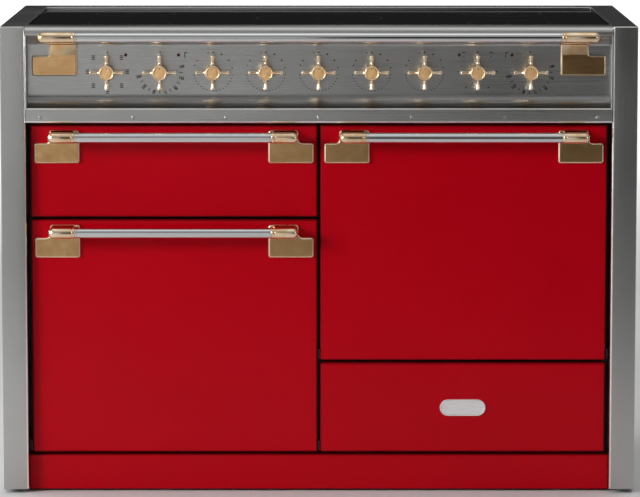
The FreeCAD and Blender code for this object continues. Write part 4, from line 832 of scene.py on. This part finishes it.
rail_holder = [rail_plate, neck, rail_socket]
build("rail_cast_brackets", rail_holder + mirrored(rail_holder), brass, "chassis", "brass", "rail_brackets")
build("hand_rail_bar", [rod(rail_inner, -rail_inner, RAIL_Y, RAIL_Z)], rod_steel, "chassis", "polished_steel",
      "hand_rail")


# Cross knobs: nine solid brass turnings, each a waisted boss with a rolled rim round a sunk disc and four
# arms that flare from the boss and swell to round tips. A steel spindle carries each one to its switch.
def facing(profile):
    """Heights that are measured out from the knob face become y, which runs the other way."""
    return np.asarray(profile, float) * (1, -1)


KNOB_BASE = -257.5
KNOB_HEIGHT = 38
ARM_LEVEL = 28
DISC_SEAT = 35.4
DISC_RADIUS = 10.9
SPINDLE_RADIUS = 2.9
POINTER_OUT = 8.2
KNOBS = ("left_oven_mode", "left_oven_heat", "zone_1", "zone_2", "zone_3", "zone_4", "zone_5", "broiler",
         "right_oven_heat")
boss_curve = smooth_curve([(12.9, 0), (13, 1.4), (12.2, 2.4), (9.6, 4.6), (8.2, 8), (8, 12), (8.6, 16),
                           (11, 19.4), (13.5, 21.2), (14, 23), (14, 29), (14, 35.6), (13.6, 37.2),
                           (12.7, KNOB_HEIGHT), (11.7, 37.5), (11.2, 36.4)], 4)
boss_profile = np.concatenate([[(AXIS, 0)], boss_curve, [(11.2, DISC_SEAT), (AXIS, DISC_SEAT)]])
boss_wear = np.interp(boss_profile[:, 1], [16, 22, 36, KNOB_HEIGHT], [0.1, 0.7, 0.8, 1])
arm_curve = smooth_curve([(6.6, 10), (6.2, 12), (4.7, 14.6), (3.4, 17), (2.9, 19.6), (3.1, 22.6), (3.7, 26.4),
                          (4.25, 29.6), (4.2, 31.4), (3.2, 32.7), (1.4, 33)], 5)
arm_turning = np.concatenate([arm_curve, [(AXIS, 33)]])
arm_wear = np.interp(arm_turning[:, 1], [10, 28, 33], [0.4, 0.8, 1])
spindle_profile = [(AXIS, -13), (SPINDLE_RADIUS, -13), (SPINDLE_RADIUS, 24), (AXIS, 24)]
disc_profile = [(AXIS, 34.8), (DISC_RADIUS + 0.2, 34.8), (DISC_RADIUS + 0.2, 35.5), (DISC_RADIUS - 0.4, 35.9),
                (7, 36.05), (3, 36.1), (AXIS, 36.1)]
pointer_profile = [(AXIS, 35.6), (1.1, 35.6), (1.1, 36.1), (0.9, 36.25), (AXIS, 36.3)]
sunk_disc = new_finish("spun_brass_disc",
                       {"Metallic": 0.55, "Anisotropic": 0.85, "Anisotropic Rotation": 0.0})
disc_cloud = grain(sunk_disc, 300)
tint(sunk_disc, disc_cloud, (0.88, 0.53, 0.24), (0.98, 0.63, 0.31))
roughen(sunk_disc, disc_cloud, 0.3, 0.37)
spin_way = node(sunk_disc, "ShaderNodeAttribute", {}, attribute_name="spin").outputs["Vector"]
spin_turned = node(sunk_disc, "ShaderNodeVectorTransform", {"Vector": spin_way}, vector_type="VECTOR",
                   convert_from="OBJECT", convert_to="WORLD")
feed(sunk_disc, "Tangent", spin_turned.outputs["Vector"])
pointer_ink = new_finish("pointer_enamel", {"Roughness": 0.4})
tint(pointer_ink, grain(pointer_ink, 900), (0.02, 0.012, 0.008), (0.05, 0.03, 0.02))
for index, knob in enumerate(KNOBS):
    x = KNOB_PITCH * (index - MIDDLE_KNOB)
    hub = (x, KNOB_BASE - ARM_LEVEL, KNOB_LEVEL)
    base = (x, KNOB_BASE, KNOB_LEVEL)
    shells = [turned(facing(boss_profile), base, "y", 48, boss_wear),
              turned(facing(spindle_profile), base, "y", 20)]
    for axis in ("x", "z"):
        shells += [turned(arm_turning * (1, sign), hub, axis, 24, arm_wear) for sign in (-1, 1)]
    build(f"{knob}_cross", shells, brass, f"{knob}_control", "brass", f"{knob}_knob")
    disc = turned(facing(disc_profile), base, "y", 48)
    disc_piece = build(f"{knob}_disc", [disc], sunk_disc, f"{knob}_control", "brass")
    across, _, up = (disc[0].reshape(-1, 3) - base).T
    spin = np.stack([-up, np.zeros_like(up), across], axis=1) / np.hypot(across, up)[:, None]
    disc_piece.data.attributes.new("spin", "FLOAT_VECTOR", "POINT").data.foreach_set("vector", spin.ravel())
    pointer = turned(facing(pointer_profile), (x, KNOB_BASE, KNOB_LEVEL + POINTER_OUT), "y", 16)
    build(f"{knob}_pointer", [pointer], pointer_ink, f"{knob}_control", "brass")


# Switches and terminal box: moulded black phenolic behind the knob face and on the back panel. The cable
# gland in the back panel is the same moulding and stands open.
phenolic = new_finish("black_phenolic", {"Specular IOR Level": 0.4})
tint(phenolic, grain(phenolic, 80), (0.012, 0.012, 0.012), (0.03, 0.029, 0.028))
roughen(phenolic, grain(phenolic, 200), 0.4, 0.6)
emboss(phenolic, grain(phenolic, 1000), 0.00006)
dress(phenolic, "control_switches", "terminal_box")


# Hob tray, coils and boards: a drawn aluminium tray holds five coils of stranded copper wire, with the two
# power boards under it. The glass hides all of them.
tray_metal = new_finish("drawn_aluminium", {"Metallic": 1.0})
tray_grain = grain(tray_metal, 1.0, (20, 800, 800), 4)
tint(tray_metal, tray_grain, (0.62, 0.62, 0.63), (0.74, 0.74, 0.75))
roughen(tray_metal, tray_grain, 0.34, 0.5)
dress(tray_metal, "hob_tray")
stranded = new_finish("stranded_copper", {"Metallic": 0.9})
strand = grain(stranded, 1.0, (500, 500, 60), 5)
tint(stranded, strand, (0.3, 0.12, 0.06), (0.66, 0.34, 0.2))
roughen(stranded, strand, 0.3, 0.5)
emboss(stranded, strand, 0.0003)
dress(stranded, "induction_coils")
board_green = new_finish("board_laminate", {"Specular IOR Level": 0.4})
feed(board_green, "Base Color", ramp(board_green, grain(board_green, 120), (0.35, (0.008, 0.06, 0.03)),
                                     (0.6, (0.02, 0.14, 0.07)), (0.72, (0.12, 0.16, 0.08))))
roughen(board_green, grain(board_green, 300), 0.35, 0.6)
dress(board_green, "induction_boards")


# Hob glass: one sheet of black glass ceramic with a ground edge, bedded in the tray. Thin grey rings with
# a cross in the middle show the five cooking zones.
GLASS_LOW = 893
GLASS_TOP = 897
GLASS_HALF = 559
GLASS_FRONT = -234.5
GLASS_REAR = 270.5
BIG_ZONE = (0, 18, 125)
ZONE_RADIUS = 80
ZONE_SIDE = 369.5
ZONE_FRONT = -117
ZONE_REAR = 153
ZONES = [BIG_ZONE] + [(x, y, ZONE_RADIUS) for x in (-ZONE_SIDE, ZONE_SIDE) for y in (ZONE_FRONT, ZONE_REAR)]
RING_HALF = 0.6
CROSS_HALF = 0.5
CROSS_REACH = 12
PRINT_LOW = GLASS_TOP - 0.1
PRINT_HIGH = GLASS_TOP + 0.04
black_glass = new_finish("black_glass_ceramic", {"Metallic": 1.0, "Specular Tint": (0.12, 0.12, 0.125, 1)})
glass_cloud = grain(black_glass, 3)
tint(black_glass, glass_cloud, (0.016, 0.016, 0.017), (0.024, 0.024, 0.025))
roughen(black_glass, glass_cloud, 0.04, 0.07)
glass = slab(box_corners((-GLASS_HALF, GLASS_FRONT), (GLASS_HALF, GLASS_REAR)), [3] * 4,
             eased(GLASS_LOW, GLASS_TOP, 1), "top")
build("glass_sheet", [glass], black_glass, "chassis", "black_glass", "hob_glass")
zone_grey = new_finish("zone_print", {"Roughness": 0.5, "Specular IOR Level": 0.1})
tint(zone_grey, grain(zone_grey, 900), (0.028,) * 3, (0.045,) * 3)
zone_marks = []
for x, y, radius in ZONES:
    ring_section = box_corners((radius - RING_HALF, PRINT_LOW), (radius + RING_HALF, PRINT_HIGH))
    ring_grid, ring_wear, _ = turned(ring_section, (x, y, 0), "z", 96)
    zone_marks.append((ring_grid, ring_wear, True))
    for half_x, half_y in ((CROSS_REACH, CROSS_HALF), (CROSS_HALF, CROSS_REACH)):
        zone_marks.append(slab(box_corners((x - half_x, y - half_y), (x + half_x, y + half_y)), [0.2] * 4,
                               [(0, PRINT_LOW), (0, PRINT_HIGH)], "top", 3))
build("zone_rings", zone_marks, zone_grey, "chassis", "black_glass")


# Rear vent rail: a stainless channel along the back of the hob, pierced with a row of slots that let the
# oven and cooling air out. Its edges are broken by deburring.
vent_steel = brushed("vent_stainless", np.array([0.6, 0.6, 0.59]), 0.28, (6, 1500, 1500), 0.5, 1.0)
dress(vent_steel, "rear_vent_rail")
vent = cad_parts["rear_vent_rail"]
vent.modifiers.new("joined", "WELD").merge_threshold = 0.00001
softened = vent.modifiers.new("deburred", "BEVEL")
softened.width = 0.0016
softened.segments = 3
softened.limit_method = "ANGLE"


# Studio: a pale matt floor that glows white far off on all sides but the front, under a wide ceiling lamp.
# Soft lamps stand in front at both sides, with a card, a wall and a hanging lamp on the left for the metal.
# A small lamp overhead draws the light lines on the bars, and the air is dark low down and grey above.
def soft_lamp(name, spot, aim, width, height, power, spread=180):
    """Rectangular lamp at spot, turned so that its face looks at aim; spread is the angle that it fills."""
    lamp = bpy.data.lights.new(name, "AREA")
    lamp.shape = "RECTANGLE"
    lamp.size = width
    lamp.size_y = height
    lamp.energy = power
    lamp.spread = math.radians(spread)
    holder = bpy.data.objects.new(name, lamp)
    run = np.array(aim, float) - np.array(spot, float)
    holder.location = spot
    holder.rotation_euler = (math.atan2(math.hypot(run[0], run[1]), -run[2]), 0, math.atan2(-run[0], run[1]))
    bpy.context.scene.collection.objects.link(holder)
    return holder


FLOOR_HALF = 200
DARK_MIDDLE = (0, -12, 0)
DARK_LIMIT = (-1000, -12, -1000)
GLOW_START = 14.0
GLOW_FULL = 21.0
WHITE = (1, 1, 1, 1)
floor_paint = new_finish("pale_floor", {"Roughness": 0.9, "Specular IOR Level": 0.1, "Emission Color": WHITE})
tint(floor_paint, grain(floor_paint, 2), (0.79,) * 3, (0.83,) * 3)
floor_held = node(floor_paint, "ShaderNodeVectorMath", {0: own_place(floor_paint), 1: DARK_LIMIT},
                  operation="MAXIMUM").outputs["Vector"]
floor_run = node(floor_paint, "ShaderNodeVectorMath", {0: floor_held, 1: DARK_MIDDLE},
                 operation="DISTANCE").outputs["Value"]
glow_reach = {"Value": floor_run, "From Min": GLOW_START, "From Max": GLOW_FULL}
glow = node(floor_paint, "ShaderNodeMapRange", glow_reach, interpolation_type="SMOOTHSTEP")
feed(floor_paint, "Emission Strength", glow.outputs["Result"])
floor_mesh = bpy.data.meshes.new("studio_floor")
floor_corners = FLOOR_HALF * np.array([(-1, -1, 0), (1, -1, 0), (1, 1, 0), (-1, 1, 0)], float)
floor_mesh.from_pydata(floor_corners.tolist(), [], [(0, 1, 2, 3)])
floor_mesh.materials.append(floor_paint)
floor = bpy.data.objects.new("studio_floor", floor_mesh)
bpy.context.scene.collection.objects.link(floor)
soft_lamp("left_lamp", (-4.4, -3.4, 2.1), (-0.05, -0.28, 0.45), 1.6, 1.6, 17, 50)
soft_lamp("right_lamp", (4.4, -3.4, 1.7), (0.05, -0.28, 0.45), 1.6, 1.6, 2, 50)
soft_lamp("left_wall", (-2.8, -0.7, 1.0), (0, -0.5, 0.7), 3.0, 1.6, 9, 110)
soft_lamp("top_lamp", (-0.1, -0.65, 3.0), (-0.1, -0.65, 0), 3.2, 1.9, 3, 90)
ceiling = soft_lamp("ceiling", (-3, 6.2, 6), (-3, 6.2, 0), 18, 14, 500, 120)
ceiling.visible_glossy = False
soft_lamp("left_card", (-1.8, -6.6, 1.1), (-1.8, 0, 1.1), 3.6, 2.4, 16)
soft_lamp("near_lamp", (-1.5, -3.2, 2.6), (-1.5, -3.2, 0), 1.4, 3.6, 8, 70)
AIR_LOW = 0.03
AIR_HIGH = 0.4
AIR_RISE = 0.34
AIR_FULL = 0.5
AIR_DIFFUSE = 0.05
world = bpy.data.worlds.new("studio_air")
bpy.context.scene.world = world
world.use_nodes = True
air_ray = node(world, "ShaderNodeLightPath", {}).outputs["Is Diffuse Ray"]
air_way = node(world, "ShaderNodeTexCoord", {}).outputs["Generated"]
air_height = node(world, "ShaderNodeSeparateXYZ", {"Vector": air_way}).outputs["Z"]
air_reach = {"Value": air_height, "From Min": AIR_RISE, "From Max": AIR_FULL, "To Min": AIR_LOW,
             "To Max": AIR_HIGH}
air_level = node(world, "ShaderNodeMapRange", air_reach).outputs["Result"]
air_seen = node(world, "ShaderNodeMix", {"Factor": air_ray, "A": air_level, "B": AIR_DIFFUSE})
air = world.node_tree.nodes["Background"]
air.inputs["Color"].default_value = WHITE
world.node_tree.links.new(air_seen.outputs["Result"], air.inputs["Strength"])


# Camera: straight in front and a little above, with a long lens tipped down so that the hob shows as a thin
# dark band over the fascia.
CAMERA_SPOT = (0.0022, -7.085, 1.3951)
CAMERA_PITCH = 7.077
view = bpy.data.cameras.new("front_camera")
view.sensor_width = 36
view.lens = 201.54
view.shift_y = -0.06
view.clip_end = 400
camera = bpy.data.objects.new("front_camera", view)
camera.location = CAMERA_SPOT
camera.rotation_euler = (math.radians(90 - CAMERA_PITCH), 0, 0)
bpy.context.scene.collection.objects.link(camera)
bpy.context.scene.camera = camera
bpy.context.scene.view_settings.view_transform = "Standard"
